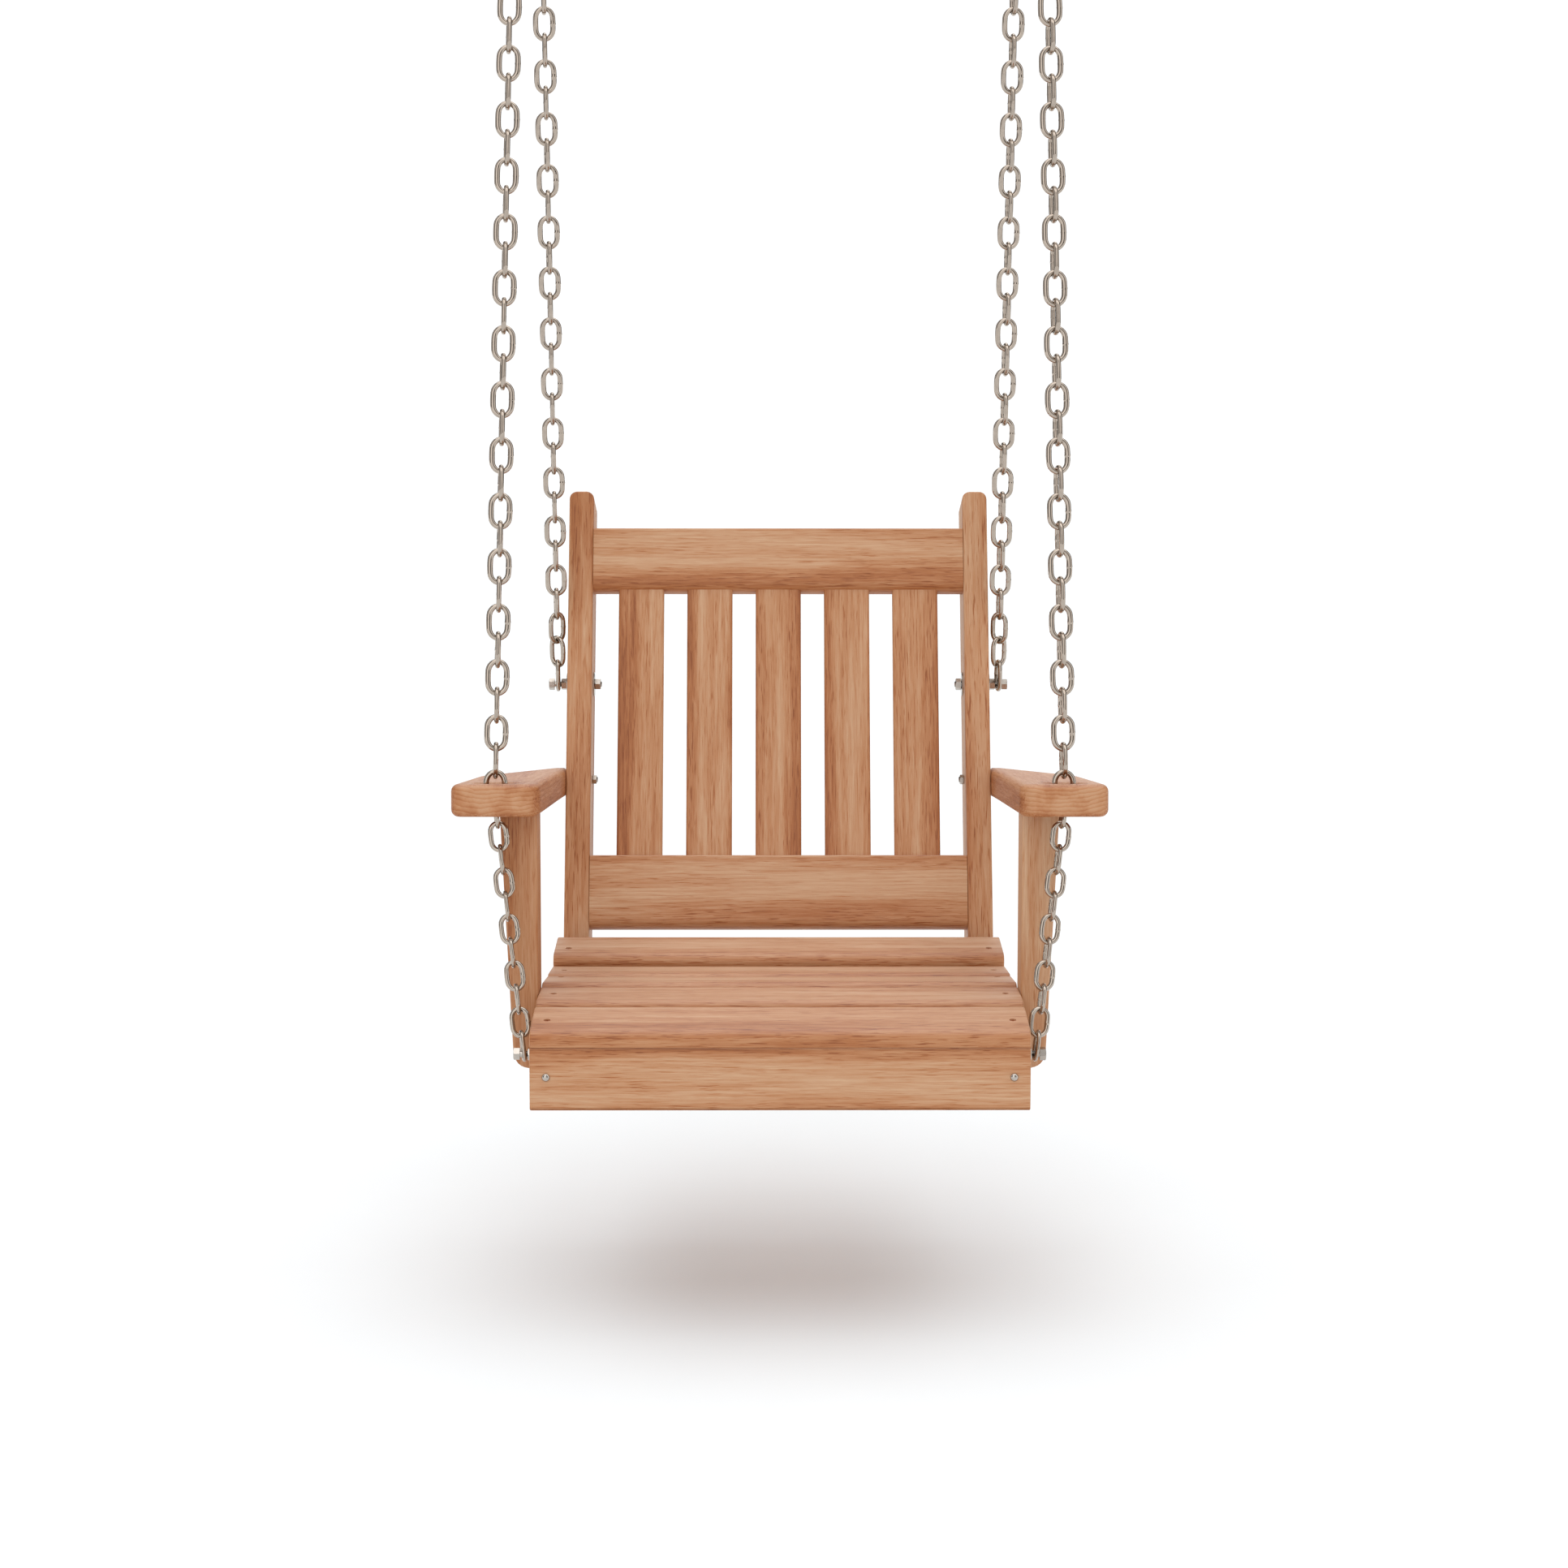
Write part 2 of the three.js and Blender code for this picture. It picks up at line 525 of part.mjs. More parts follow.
// Adds a run of chain with its hook, and returns the centre of the eye's wire, in the chair's frame.
function hangingChain(name, side, lowest, lean, links, play, isOnBolt) {
  const up = new THREE.Vector3(side * lean.x, lean.y, 1).normalize();
  const at = (distance) => lowest.clone().addScaledVector(up, distance);
  const top = (links - 1) * CHAIN.pitch;
  const barStart = isOnBolt ? linkHalf(CHAIN) + GAP : -linkHalf(CHAIN);
  const barEnd = top - linkHalf(CHAIN) - GAP;
  const sideName = side < 0 ? 'left' : 'right';
  const barShape = chainBar(CHAIN, barEnd - barStart);
  const bar = place(chair, `${name}_chain_${sideName}`, barShape, materials.steel);
  bar.position.copy(at(barStart));
  aim(bar, up);
  const topLink = place(chair, `${name}_top_link_${sideName}`, link(CHAIN), materials.steel);
  topLink.position.copy(at(top));
  aim(topLink, up);
  const hook = place(chair, `${name}_hook_${sideName}`, hookGeometry(), materials.steel);
  hook.position.copy(at(top + linkSeat));
  aim(hook, up);
  return at(top + linkSeat + hookSpan - eyeSeat - play);
}

const eyes = [];
for (const [name, side] of SIDES) {
  // rear chain, from the bolt in the post
  const rearBolt = new THREE.Vector3(side * rearLinkX, REAR_BOLT.y, REAR_BOLT.z).applyMatrix4(back.matrix);
  const rearUp = new THREE.Vector3(side * REAR_CHAIN_LEAN.x, REAR_CHAIN_LEAN.y, 1).normalize();
  const rearLowest = rearBolt.clone().addScaledVector(rearUp, boltSeat(CHAIN));
  const rearEnd = place(chair, `rear_end_link_${name}`, link(CHAIN), materials.steel);
  rearEnd.position.copy(rearLowest);
  aim(rearEnd, rearUp, Math.PI / 2);
  eyes.push([`rear_hanger_${name}`,
    hangingChain('rear', side, rearLowest, REAR_CHAIN_LEAN, REAR_LINKS, REAR_HOOK_PLAY, true)]);

  // front chain, from the hole in the arm
  const frontLowest = new THREE.Vector3(side * ARM_HOLE.x, CHAIN_HOLE_JOINT.y, CHAIN_HOLE_JOINT.z);
  eyes.push([`front_hanger_${name}`,
    hangingChain('front', side, frontLowest, FRONT_CHAIN_LEAN, FRONT_LINKS, 0, false)]);

  // lower chain, from the joint in the arm's hole down to the bolt in the side rail
  const frontUp = new THREE.Vector3(side * FRONT_CHAIN_LEAN.x, FRONT_CHAIN_LEAN.y, 1).normalize();
  const joint = frontLowest.clone().addScaledVector(frontUp, -CHAIN.pitch / 2 - CHAIN.wire);
  const bolt = new THREE.Vector3(side * frontLinkX, FRONT_BOLT.y, FRONT_BOLT.z);
  const lowerUp = joint.clone().sub(bolt);
  const grip = CHAIN.wire + LOWER_CHAIN.wire;
  const span = lowerUp.length() + grip + BOLT.radius + GAP - LOWER_CHAIN.wire;
  const lower = { ...LOWER_CHAIN, pitch: span / LOWER_CHAIN.links };
  lowerUp.normalize();
  const lowest = bolt.clone().addScaledVector(lowerUp, boltSeat(lower));
  const endLink = place(chair, `lower_end_link_${name}`, link(lower), materials.steel);
  endLink.position.copy(lowest);
  aim(endLink, lowerUp, Math.PI / 2);
  const barStart = linkHalf(lower) + GAP;
  const barEnd = joint.distanceTo(lowest) - 2 * CHAIN.wire - LOWER_CHAIN.clear;
  const bar = place(chair, `lower_chain_${name}`, chainBar(lower, barEnd - barStart), materials.steel);
  bar.position.copy(lowest.clone().addScaledVector(lowerUp, barStart));
  aim(bar, lowerUp);
}

// ---------------------------------------------------------------- hanging the chair
// The chair's frame is tilted back and lowered until the front eyes hang at their drop.
chair.rotation.x = -radians(HANG_TILT);
chair.updateMatrix();
const hung = eyes.map(([name, point]) => [name, point.clone().applyMatrix4(chair.matrix)]);
const frontEye = hung.find(([name]) => name === 'front_hanger_left')[1];
const rearEye = hung.find(([name]) => name === 'rear_hanger_left')[1];
const shift = new THREE.Vector3(0, -(frontEye.y + rearEye.y) / 2, -EYE.frontDrop - frontEye.z);
chair.position.copy(shift);

// A hanger: a screwed plate with a round bar bent to a U under it, whose bend carries the hook.
function hangerGeometry(drop) {
  const outline = new THREE.Shape();
  const halfX = PLATE.x / 2;
  const halfY = PLATE.y / 2;
  const corner = PLATE.corner;
  outline.moveTo(-halfX + corner, -halfY);
  outline.absarc(halfX - corner, -halfY + corner, corner, -Math.PI / 2, 0);
  outline.absarc(halfX - corner, halfY - corner, corner, 0, Math.PI / 2);
  outline.absarc(-halfX + corner, halfY - corner, corner, Math.PI / 2, Math.PI);
  outline.absarc(-halfX + corner, -halfY + corner, corner, Math.PI, 1.5 * Math.PI);
  for (const x of [-PLATE.screwX, PLATE.screwX]) {
    const hole = new THREE.Path();
    hole.absarc(x, 0, PLATE.screw, 0, 2 * Math.PI, true);
    outline.holes.push(hole);
  }
  const plate = new THREE.ExtrudeGeometry(outline, {
    depth: PLATE.thickness, bevelEnabled: false, curveSegments: 8,
  }).translate(0, 0, -PLATE.thickness);
  const bend = -drop + EYE.radius;
  const root = -PLATE.thickness / 3;      // the bar's ends, sunk into the plate
  const points = [[-EYE.radius, root], [-EYE.radius, bend / 2]];
  for (let angle = 180; angle <= 360; angle += 22.5) {
    points.push([EYE.radius * Math.cos(radians(angle)), bend + EYE.radius * Math.sin(radians(angle))]);
  }
  points.push([EYE.radius, bend / 2], [EYE.radius, root]);
  const path = new THREE.CatmullRomCurve3(points.map(([x, z]) => new THREE.Vector3(x, 0, z)));
  const section = new THREE.Shape();
  section.absarc(0, 0, EYE.wire, 0, 2 * Math.PI);
  const bar = new THREE.ExtrudeGeometry(section, { steps: 40, extrudePath: path, curveSegments: 4 });
  return join(plate, bar);
}

for (const [name, point] of hung) {
  const centre = point.add(shift);
  const hanger = place(model, name, hangerGeometry(-centre.z), materials.steel);
  hanger.position.set(centre.x, centre.y, 0);
}

export default model;
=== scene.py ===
import json
import math
import random

import bmesh
import bpy
from mathutils import Matrix, Vector


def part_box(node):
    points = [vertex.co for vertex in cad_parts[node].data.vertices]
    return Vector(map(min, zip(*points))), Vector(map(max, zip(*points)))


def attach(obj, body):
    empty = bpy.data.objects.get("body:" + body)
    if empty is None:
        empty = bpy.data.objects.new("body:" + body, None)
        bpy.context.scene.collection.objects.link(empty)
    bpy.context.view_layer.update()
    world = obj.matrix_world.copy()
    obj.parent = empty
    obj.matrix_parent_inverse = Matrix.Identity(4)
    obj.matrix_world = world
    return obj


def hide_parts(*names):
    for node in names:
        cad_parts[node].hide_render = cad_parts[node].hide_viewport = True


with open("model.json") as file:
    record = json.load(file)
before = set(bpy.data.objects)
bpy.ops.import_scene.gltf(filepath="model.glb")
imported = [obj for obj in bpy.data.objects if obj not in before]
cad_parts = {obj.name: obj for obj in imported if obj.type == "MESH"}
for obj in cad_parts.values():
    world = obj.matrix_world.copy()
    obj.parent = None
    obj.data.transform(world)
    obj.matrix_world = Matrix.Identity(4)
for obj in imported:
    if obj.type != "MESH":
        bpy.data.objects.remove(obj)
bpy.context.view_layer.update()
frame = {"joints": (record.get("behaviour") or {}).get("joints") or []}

MM = 0.001
SIDES = (("left", -1), ("right", 1))

# ------------------------------------------------------------------ the chair's frame and sizes, in mm
SEAT_WIDTH = 610
SEAT_BOARD = 19
SLAT_WIDTH = 89
SLAT_PITCH = 95
SLAT_HEIGHTS = ((21.5, 39), (42.5, 47.4), (51, 46), (47.5, 44.6), (58.3, 71.8))
NOSE_RADIUS = 16
SLAT_ROUND = 13                      # of the other slats' front edges
SEAT_SCREW_X = 286
SEAT_SCREW_ROWS = (40, 143, 270, 330, 413)      # from the seat's front
SEAT_SCREW = (4.1, -1.2)             # radius of its head, height of the rim
SEAT_SCREW_PIT = (4.3, -2)           # radius, floor
APRON_HEIGHT = 75
SIDE_RAIL_THICKNESS = 38
SIDE_RAIL_BOTTOM = -62
STRETCHER_Y = 430
STRETCHER_SIZE = (28, -55, 22)      # thickness, bottom, top

BACK_FOOT = (495, 67)
BACK_LEAN = math.radians(15.5)
POST_INNER = 264
POST_WIDTH = 35
POST_DEPTH = 78
POST_SPAN = (-127, 643.5)
POST_TOP_ROUND = 11
RAIL_END_GAP = 0.05
BACK_RAIL_THICKNESS = 28
TOP_RAIL = (497.5, 589, 15)          # bottom, top, radius of the lower front edge
BOTTOM_RAIL = (13, 115.5, 12)
BACK_SLAT_WIDTH = 64.5
BACK_SLAT_PITCH = 97.5
BACK_SLAT_THICKNESS = 14
BACK_SLAT_SETBACK = 7
BACK_SLAT_TENON = 3

ARM_FRONT = (75, 316.5)
ARM_SLOPE = math.radians(2.48)
ARM_THICKNESS = 40.5
ARM_LENGTH = 547
ARM_HOLE = (355.4, 48, 25)           # x, distance behind the arm's front edge, radius
LEG_Y = 141
LEG_DEPTH = 56
LEG_BOTTOM = -51
LEG_INNER = 305.3
LEG_TOP_WIDTH = 47
LEG_FOOT_WIDTH = 32.5
LEG_FOOT_RADIUS = 24

BOLT_RADIUS = 4
BOLT_FLATS = 14.5
BOLT_HEAD = 8
NUT_HEIGHT = 8.3
WASHER_RADIUS = 17
WASHER_THICKNESS = 2
GAP = 0.3
REAR_BOLT = (39, 368.6)              # in the back's frame
ARM_BOLT = (39, 230)
ARM_BOLT_SEAT = 322
ARM_BOLT_POCKET = 12
ARM_NUT = (12, 6)                    # across its flats, height
BOLT_TIP = 1.5                       # how far a bolt stands out of its nut
FRONT_BOLT = (80, -20.3)
FRONT_BOLT_TIP = 282
APRON_SCREW = (285, -34.5)
NUT_TURN = math.radians(11)          # of the heads and inner nuts, from a flat on top
THREAD_PITCH = 1.25

PITCH = 34.5                         # links: inner length, wire radius, outer width
WIRE = 3.1
LINK_WIDTH = 29.5
LOWER_WIRE = 2.7
LOWER_WIDTH = 25.5
LOWER_LINKS = 11
FRONT_LINKS = 31
REAR_LINKS = 29
LINK_PLAY = 3.4
FRONT_JOINT = (123, 308)             # centre of the front chain's lowest link
FRONT_CHAIN_LEAN = (-0.022, 0.0489)
REAR_CHAIN_LEAN = (0.0018, -0.1673)
HOOK_WIRE = 4
HOOK_TOP = 18
HOOK_BOTTOM = 12
HOOK_CENTRES = 34
EYE_RADIUS = 14
PLATE = (76, 34, 5, 10)              # x, y, thickness, corner radius
PLATE_SCREW_X = 27
PLATE_SCREW_HOLE = 3.2

# The chair's tilt and place come from the two hinges on it.
FRONT_PIVOT = Vector((0, FRONT_JOINT[0], FRONT_JOINT[1] - PITCH / 2 - WIRE))
REAR_PIVOT = Vector((
    0,
    BACK_FOOT[0] + REAR_BOLT[0] * math.cos(BACK_LEAN) + REAR_BOLT[1] * math.sin(BACK_LEAN),
    BACK_FOOT[1] - REAR_BOLT[0] * math.sin(BACK_LEAN) + REAR_BOLT[1] * math.cos(BACK_LEAN),
))


def chair_matrix():
    hinges = {joint["name"]: Vector(joint["pos_m"]) / MM for joint in frame["joints"]}
    there = hinges["rear_chain_turn"] - hinges["seat_level"]
    here = REAR_PIVOT - FRONT_PIVOT
    tilt = math.atan2(there.z, there.y) - math.atan2(here.z, here.y)
    turn = Matrix.Rotation(tilt, 4, "X")
    return Matrix.Translation(hinges["seat_level"] - turn @ FRONT_PIVOT) @ turn


CHAIR = chair_matrix()
BACK = CHAIR @ Matrix.Translation((0, *BACK_FOOT)) @ Matrix.Rotation(-BACK_LEAN, 4, "X")
ARMS = CHAIR @ Matrix.Translation((0, *ARM_FRONT)) @ Matrix.Rotation(-ARM_SLOPE, 4, "X")
METRES = Matrix.Scale(MM, 4)

# ------------------------------------------------------------------ camera
CAMERA_AT = Vector((-16.2, -3312, 613.5))
CAMERA_AIM = Vector((0.0062, math.cos(math.radians(5)), -math.sin(math.radians(5))))
FOCAL_LENGTH = 63.35                 # mm on a 36 mm square frame


def add_camera():
    data = bpy.data.cameras.new("camera")
    data.sensor_width = 36
    data.lens = FOCAL_LENGTH
    data.clip_end = 60
    camera = bpy.data.objects.new("camera", data)
    bpy.context.scene.collection.objects.link(camera)
    forward = CAMERA_AIM.normalized()
    right = (Vector((1, 0, 0)) - forward.x * forward).normalized()
    up = right.cross(forward)
    local = Matrix((right, up, -forward)).transposed().to_4x4()
    local.translation = CAMERA_AT
    world = CHAIR @ local
    camera.matrix_world = Matrix.Translation(world.translation * MM) @ world.to_3x3().to_4x4()
    bpy.context.scene.camera = camera


add_camera()


# ------------------------------------------------------------------ material nodes
class Tree:
    """A short way to write the nodes of a material or of the world."""

    def __init__(self, owner):
        owner.use_nodes = True
        self.owner = owner
        self.nodes = owner.node_tree.nodes
        self.links = owner.node_tree.links
        self.shader = self.nodes.get("Principled BSDF")

    def add(self, kind, inputs=None, **settings):
        node = self.nodes.new("ShaderNode" + kind)
        for key, value in settings.items():
            setattr(node, key, value)
        for key, value in (inputs or {}).items():
            self.put(node.inputs[key], value)
        return node

    def put(self, socket, value):
        if isinstance(value, bpy.types.NodeSocket):
            self.links.new(value, socket)
        elif isinstance(value, bpy.types.Node):
            self.links.new(value.outputs[0], socket)
        else:
            socket.default_value = value

    def math(self, operation, a, b=0.0, clamp=False):
        return self.add("Math", {0: a, 1: b}, operation=operation, use_clamp=clamp).outputs[0]

    def ramp(self, factor, stops, interpolation="LINEAR"):
        node = self.add("ValToRGB", {"Fac": factor})
        ramp = node.color_ramp
        ramp.interpolation = interpolation
        while len(ramp.elements) < len(stops):
            ramp.elements.new(1)
        for element, (position, colour) in zip(ramp.elements, stops):
            element.position = position
            element.color = colour
        return node.outputs["Color"]

    def noise(self, vector, scale, detail=2.0, roughness=0.5, distortion=0.0):
        node = self.add("TexNoise", {
            "Vector": vector, "Scale": scale, "Detail": detail,
            "Roughness": roughness, "Distortion": distortion,
        })
        return node.outputs[0]

    def stretched(self, vector, scale):
        return self.add("VectorMath", {0: vector, 1: scale}, operation="MULTIPLY").outputs[0]


def grey(value):
    return (value, value, value, 1)


def linear(red, green, blue):
    """An sRGB colour of 0 to 255 as a linear one."""
    def channel(value):
        value /= 255
        return value / 12.92 if value <= 0.04045 else ((value + 0.055) / 1.055) ** 2.4
    return (channel(red), channel(green), channel(blue), 1)


# the share of white painted onto faces that look up, a painted sheen
UP_FACE_SHEEN = 0.07
WOOD_DARK = linear(140, 76, 33)
WOOD_STREAK = linear(168, 103, 56)
WOOD_MID = linear(187, 132, 90)
WOOD_LIGHT = linear(204, 164, 129)


def cedar():
    """Solid wood: the board's object space runs along its length, and the log's middle lies at its origin,
    so the growth rings show as lines on the faces and as arcs on the ends. Boards are lighter along their
    middles than along their edges, and dark strokes gather where the wood is dark."""
    t = Tree(bpy.data.materials.new("cedar"))
    texture = t.add("TexCoord")
    place = texture.outputs["Object"]
    luck = t.add("ObjectInfo").outputs["Random"]
    shift = t.add("CombineXYZ", {"X": t.math("MULTIPLY", luck, 7.3)}).outputs[0]
    grain = t.add("VectorMath", {0: place, 1: shift}, operation="ADD").outputs[0]

    # growth rings, wavy along the board
    wave = t.noise(t.stretched(grain, (2.6, 9, 9)), 1, 2)
    wave_small = t.noise(t.stretched(grain, (13, 60, 60)), 1, 2)
    apart = t.add("SeparateXYZ", {0: place})
    radius = t.math("SQRT", t.math("ADD", t.math("MULTIPLY", apart.outputs["Y"], apart.outputs["Y"]),
                                   t.math("MULTIPLY", apart.outputs["Z"], apart.outputs["Z"])))
    rings = t.math("MULTIPLY", radius, 190)
    rings = t.math("ADD", rings, t.math("MULTIPLY", wave, 4.2))
    rings = t.math("ADD", rings, t.math("MULTIPLY", wave_small, 1.1))
    ring = t.ramp(t.math("FRACT", rings), (
        (0, grey(0.9)), (0.42, grey(0.72)), (0.8, grey(0.25)), (0.9, grey(0.1)), (1, grey(0.9))))

    # the darker wood along the board's two edges, more on one than on the other
    across = t.add("Attribute", attribute_name="across").outputs["Fac"]
    from_middle = t.math("ABSOLUTE", across)
    ragged = t.noise(t.stretched(grain, (3.5, 45, 45)), 1, 4, 0.6)
    from_middle = t.math("ADD", from_middle, t.math("MULTIPLY", t.math("SUBTRACT", ragged, 0.5), 1.5))
    edge_band = t.ramp(from_middle, ((0.4, grey(0)), (1.05, grey(1))), "EASE")

    # broad bands, fine fibres and short dark strokes, all drawn out along the board
    band = t.noise(t.stretched(grain, (1.6, 30, 30)), 1, 4, 0.6)
    band = t.ramp(band, ((0.32, grey(0)), (0.62, grey(1))), "EASE")
    fibre = t.noise(t.stretched(grain, (24, 640, 640)), 1, 4, 0.65)
    fibre_wide = t.noise(t.stretched(grain, (8, 190, 190)), 1, 4, 0.65)
    stroke = t.noise(t.stretched(grain, (34, 660, 660)), 1, 2, 0.5)
    stroke = t.ramp(stroke, ((0.57, grey(0)), (0.67, grey(1))))

    # on the sawn ends the fibres stand upright, so only the rings are left
    facing = t.add("SeparateXYZ", {0: texture.outputs["Normal"]}).outputs["X"]
    end = t.ramp(t.math("ABSOLUTE", facing), ((0.6, grey(0)), (0.9, grey(1))))
    side = t.math("SUBTRACT", 1, end)
    fibre_wide = t.math("ADD", t.math("MULTIPLY", t.math("SUBTRACT", fibre_wide, 0.5), side), 0.5)
    fine = t.math("ADD", t.math("MULTIPLY", t.math("SUBTRACT", fibre, 0.5), side), 0.5)
    stroke = t.math("MULTIPLY", stroke, side)
    edge_band = t.math("MULTIPLY", edge_band, side)
    ring_share = t.math("ADD", 0.12, t.math("MULTIPLY", end, 0.14))

    tone = t.math("MULTIPLY", band, 0.24)
    tone = t.math("ADD", tone, t.math("MULTIPLY", ring, ring_share))
    tone = t.math("ADD", tone, t.math("MULTIPLY", fibre_wide, 0.52))
    tone = t.math("ADD", tone, t.math("MULTIPLY", fine, 0.48))
    tone = t.math("SUBTRACT", tone, t.math("MULTIPLY", edge_band, 0.26))
    dark_wood = t.math("SUBTRACT", 1, band)
    gathered = t.math("ADD", 0.1, t.math("MULTIPLY", t.math("MAXIMUM", dark_wood, edge_band), 0.28))
    tone = t.math("SUBTRACT", tone, t.math("MULTIPLY", stroke, gathered))
    # painted shade: the rounded edges are made a little darker
    edge_shade = t.add("Attribute", attribute_name="edge").outputs["Fac"]
    tone = t.math("ADD", tone, t.add("Attribute", attribute_name="tone").outputs["Fac"])
    tone = t.math("SUBTRACT", tone, t.math("MULTIPLY", edge_shade, 0.03), clamp=True)
    colour = t.ramp(tone, ((0.12, WOOD_DARK), (0.36, WOOD_STREAK), (0.6, WOOD_MID), (0.92, WOOD_LIGHT)))
    # painted sheen: faces that look up are mixed towards white, standing in for the light they catch
    up = t.add("SeparateXYZ", {0: t.add("NewGeometry").outputs["Normal"]}).outputs["Z"]
    painted_sheen = t.math("MULTIPLY", t.ramp(up, ((0.45, grey(0)), (0.95, grey(1))), "EASE"), UP_FACE_SHEEN)
    colour = t.add("Mix", {"Factor": painted_sheen, "A": colour, "B": grey(1)}, data_type="RGBA").outputs["Result"]
    t.put(t.shader.inputs["Base Color"], colour)

    rough = t.ramp(fibre, ((0.3, grey(0.6)), (0.7, grey(0.46))))
    t.put(t.shader.inputs["Roughness"], rough)
    t.shader.inputs["Specular IOR Level"].default_value = 0.5
    relief = t.math("ADD", t.math("MULTIPLY", fibre, 0.6), t.math("MULTIPLY", ring, 0.2))
    relief = t.math("SUBTRACT", relief, t.math("MULTIPLY", stroke, 0.5))
    bump = t.add("Bump", {"Height": relief, "Strength": 0.35, "Distance": 0.0004})
    t.put(t.shader.inputs["Normal"], bump.outputs["Normal"])
    return t.owner


def steel(name, tint, low, high):
    """Zinc-plated steel: bright, with a cloudy plating and fine rubbed marks."""
    t = Tree(bpy.data.materials.new(name))
    place = t.add("TexCoord").outputs["Object"]
    cloud = t.noise(place, 160, 3)
    rub = t.noise(t.stretched(place, (900, 900, 350)), 1, 3, 0.6)
    colour = t.ramp(cloud, ((0.3, tuple(c * 0.86 for c in tint[:3]) + (1,)), (0.7, tint)))
    t.put(t.shader.inputs["Base Color"], colour)
    t.shader.inputs["Metallic"].default_value = 1
    mixed = t.math("ADD", t.math("MULTIPLY", cloud, 0.5), t.math("MULTIPLY", rub, 0.5))
    t.put(t.shader.inputs["Roughness"], t.ramp(mixed, ((0.3, grey(low)), (0.7, grey(high)))))
    bump = t.add("Bump", {"Height": rub, "Strength": 0.015, "Distance": 0.0002})
    t.put(t.shader.inputs["Normal"], bump.outputs["Normal"])
    return t.owner


def stained_screw():
    """The stained, recessed heads of the seat's screws."""
    t = Tree(bpy.data.materials.new("stained_screw"))
    place = t.add("TexCoord").outputs["Object"]
    cloud = t.noise(place, 700, 3)
    t.put(t.shader.inputs["Base Color"],
          t.ramp(cloud, ((0.3, linear(140, 78, 48)), (0.7, linear(186, 122, 86)))))
    t.shader.inputs["Metallic"].default_value = 0.35
    t.put(t.shader.inputs["Roughness"], t.ramp(cloud, ((0.3, grey(0.4)), (0.7, grey(0.62)))))
    return t.owner


CEDAR = cedar()
CHAIN_STEEL = steel("chain_steel", (0.48, 0.405, 0.34, 1), 0.04, 0.1)
BOLT_STEEL = steel("bolt_steel", (0.52, 0.47, 0.42, 1), 0.12, 0.26)
STAINED = stained_screw()


# ------------------------------------------------------------------ mesh helpers
def add_object(name, mesh, material, matrix, nodes, body, own_frame=False):
    """Places a mesh made in millimetres, as a piece that stands for the given CAD nodes. A piece with its
    own frame keeps its object space; any other is turned into the row's frame."""
    if not own_frame:
        mesh.transform(matrix.to_3x3().to_4x4())
        matrix = Matrix.Translation(matrix.translation)
    mesh.transform(METRES)
    mesh.materials.clear()
    mesh.materials.append(material)
    piece = bpy.data.objects.new(name, mesh)
    bpy.context.scene.collection.objects.link(piece)
    rotation = matrix.to_3x3().to_4x4()
    piece.matrix_world = Matrix.Translation(matrix.translation * MM) @ rotation
    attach(piece, body)
    if nodes:
        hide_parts(*nodes)
    return piece


def shade(mesh, sharp=math.radians(38)):
    """Smooth faces, with sharp edges where the surface really turns."""
    bm = bmesh.new()
    bm.from_mesh(mesh)
    for face in bm.faces:
        face.smooth = True
    for edge in bm.edges:
        edge.smooth = len(edge.link_faces) == 2 and edge.calc_face_angle(0) < sharp
    bm.to_mesh(mesh)
    bm.free()


def mark_edges(mesh, flat_area):
    """Writes 1 on the vertices of rounded edges and 0 on those of flat faces, for a painted shade there."""
    flat = [False] * len(mesh.vertices)
    for face in mesh.polygons:
        if face.area > flat_area:
            for index in face.vertices:
                flat[index] = True
    layer = mesh.attributes.new("edge", "FLOAT", "POINT")
    for index, is_flat in enumerate(flat):
        layer.data[index].value = 0.0 if is_flat else 1.0


# how far each board's pale middle lies off its own middle, and how much paler the board is
BOARD_LOOKS = {
    "seat_slat_1": (-0.5, -0.01), "seat_slat_3": (-0.2, 0.0), "seat_slat_4": (-0.1, 0.04),
    "seat_slat_5": (-0.25, 0.06), "apron": (0.15, -0.03),
    "back_top_rail": (-0.25, 0.0), "back_bottom_rail": (-0.2, 0.02),
    "back_slat_1": (-0.45, -0.07), "back_slat_2": (-0.2, -0.04), "back_slat_3": (0.4, -0.09),
    "back_slat_4": (-0.15, -0.08), "back_slat_5": (0.35, -0.05),
    "back_post_left": (0.3, -0.04), "back_post_right": (-0.1, 0.12),
    "arm_left": (0.0, -0.22), "arm_right": (0.0, -0.22),
    "arm_leg_left": (0.2, -0.2), "arm_leg_right": (-0.2, 0.1),
}
ARM_BAND = 0.45                      # the arms and their legs come from the middle of wide boards


def mark_board(mesh, name):
    """Writes the board's tone, and the place across its wider side, from about -1 to 1, for the darker
    wood along its two edges."""
    lean, tone = BOARD_LOOKS.get(name, (0.0, 0.0))
    reach = ARM_BAND if name.startswith("arm_") else 1
    spans = []
    for axis in (1, 2):
        values = [vertex.co[axis] for vertex in mesh.vertices]
        spans.append((max(values) - min(values), min(values), axis))
    width, low, axis = max(spans)
    places = mesh.attributes.new("across", "FLOAT", "POINT")
    tones = mesh.attributes.new("tone", "FLOAT", "POINT")
    for index, vertex in enumerate(mesh.vertices):
        places.data[index].value = reach * (2 * (vertex.co[axis] - low) / width - 1) + lean
        tones.data[index].value = tone


def even_normals(piece):
    modifier = piece.modifiers.new("even normals", "WEIGHTED_NORMAL")
    modifier.keep_sharp = True
    modifier.weight = 100


def to_mesh(bm, name):
    mesh = bpy.data.meshes.new(name)
    bmesh.ops.recalc_face_normals(bm, faces=bm.faces)
    bm.to_mesh(mesh)
    bm.free()
    return mesh


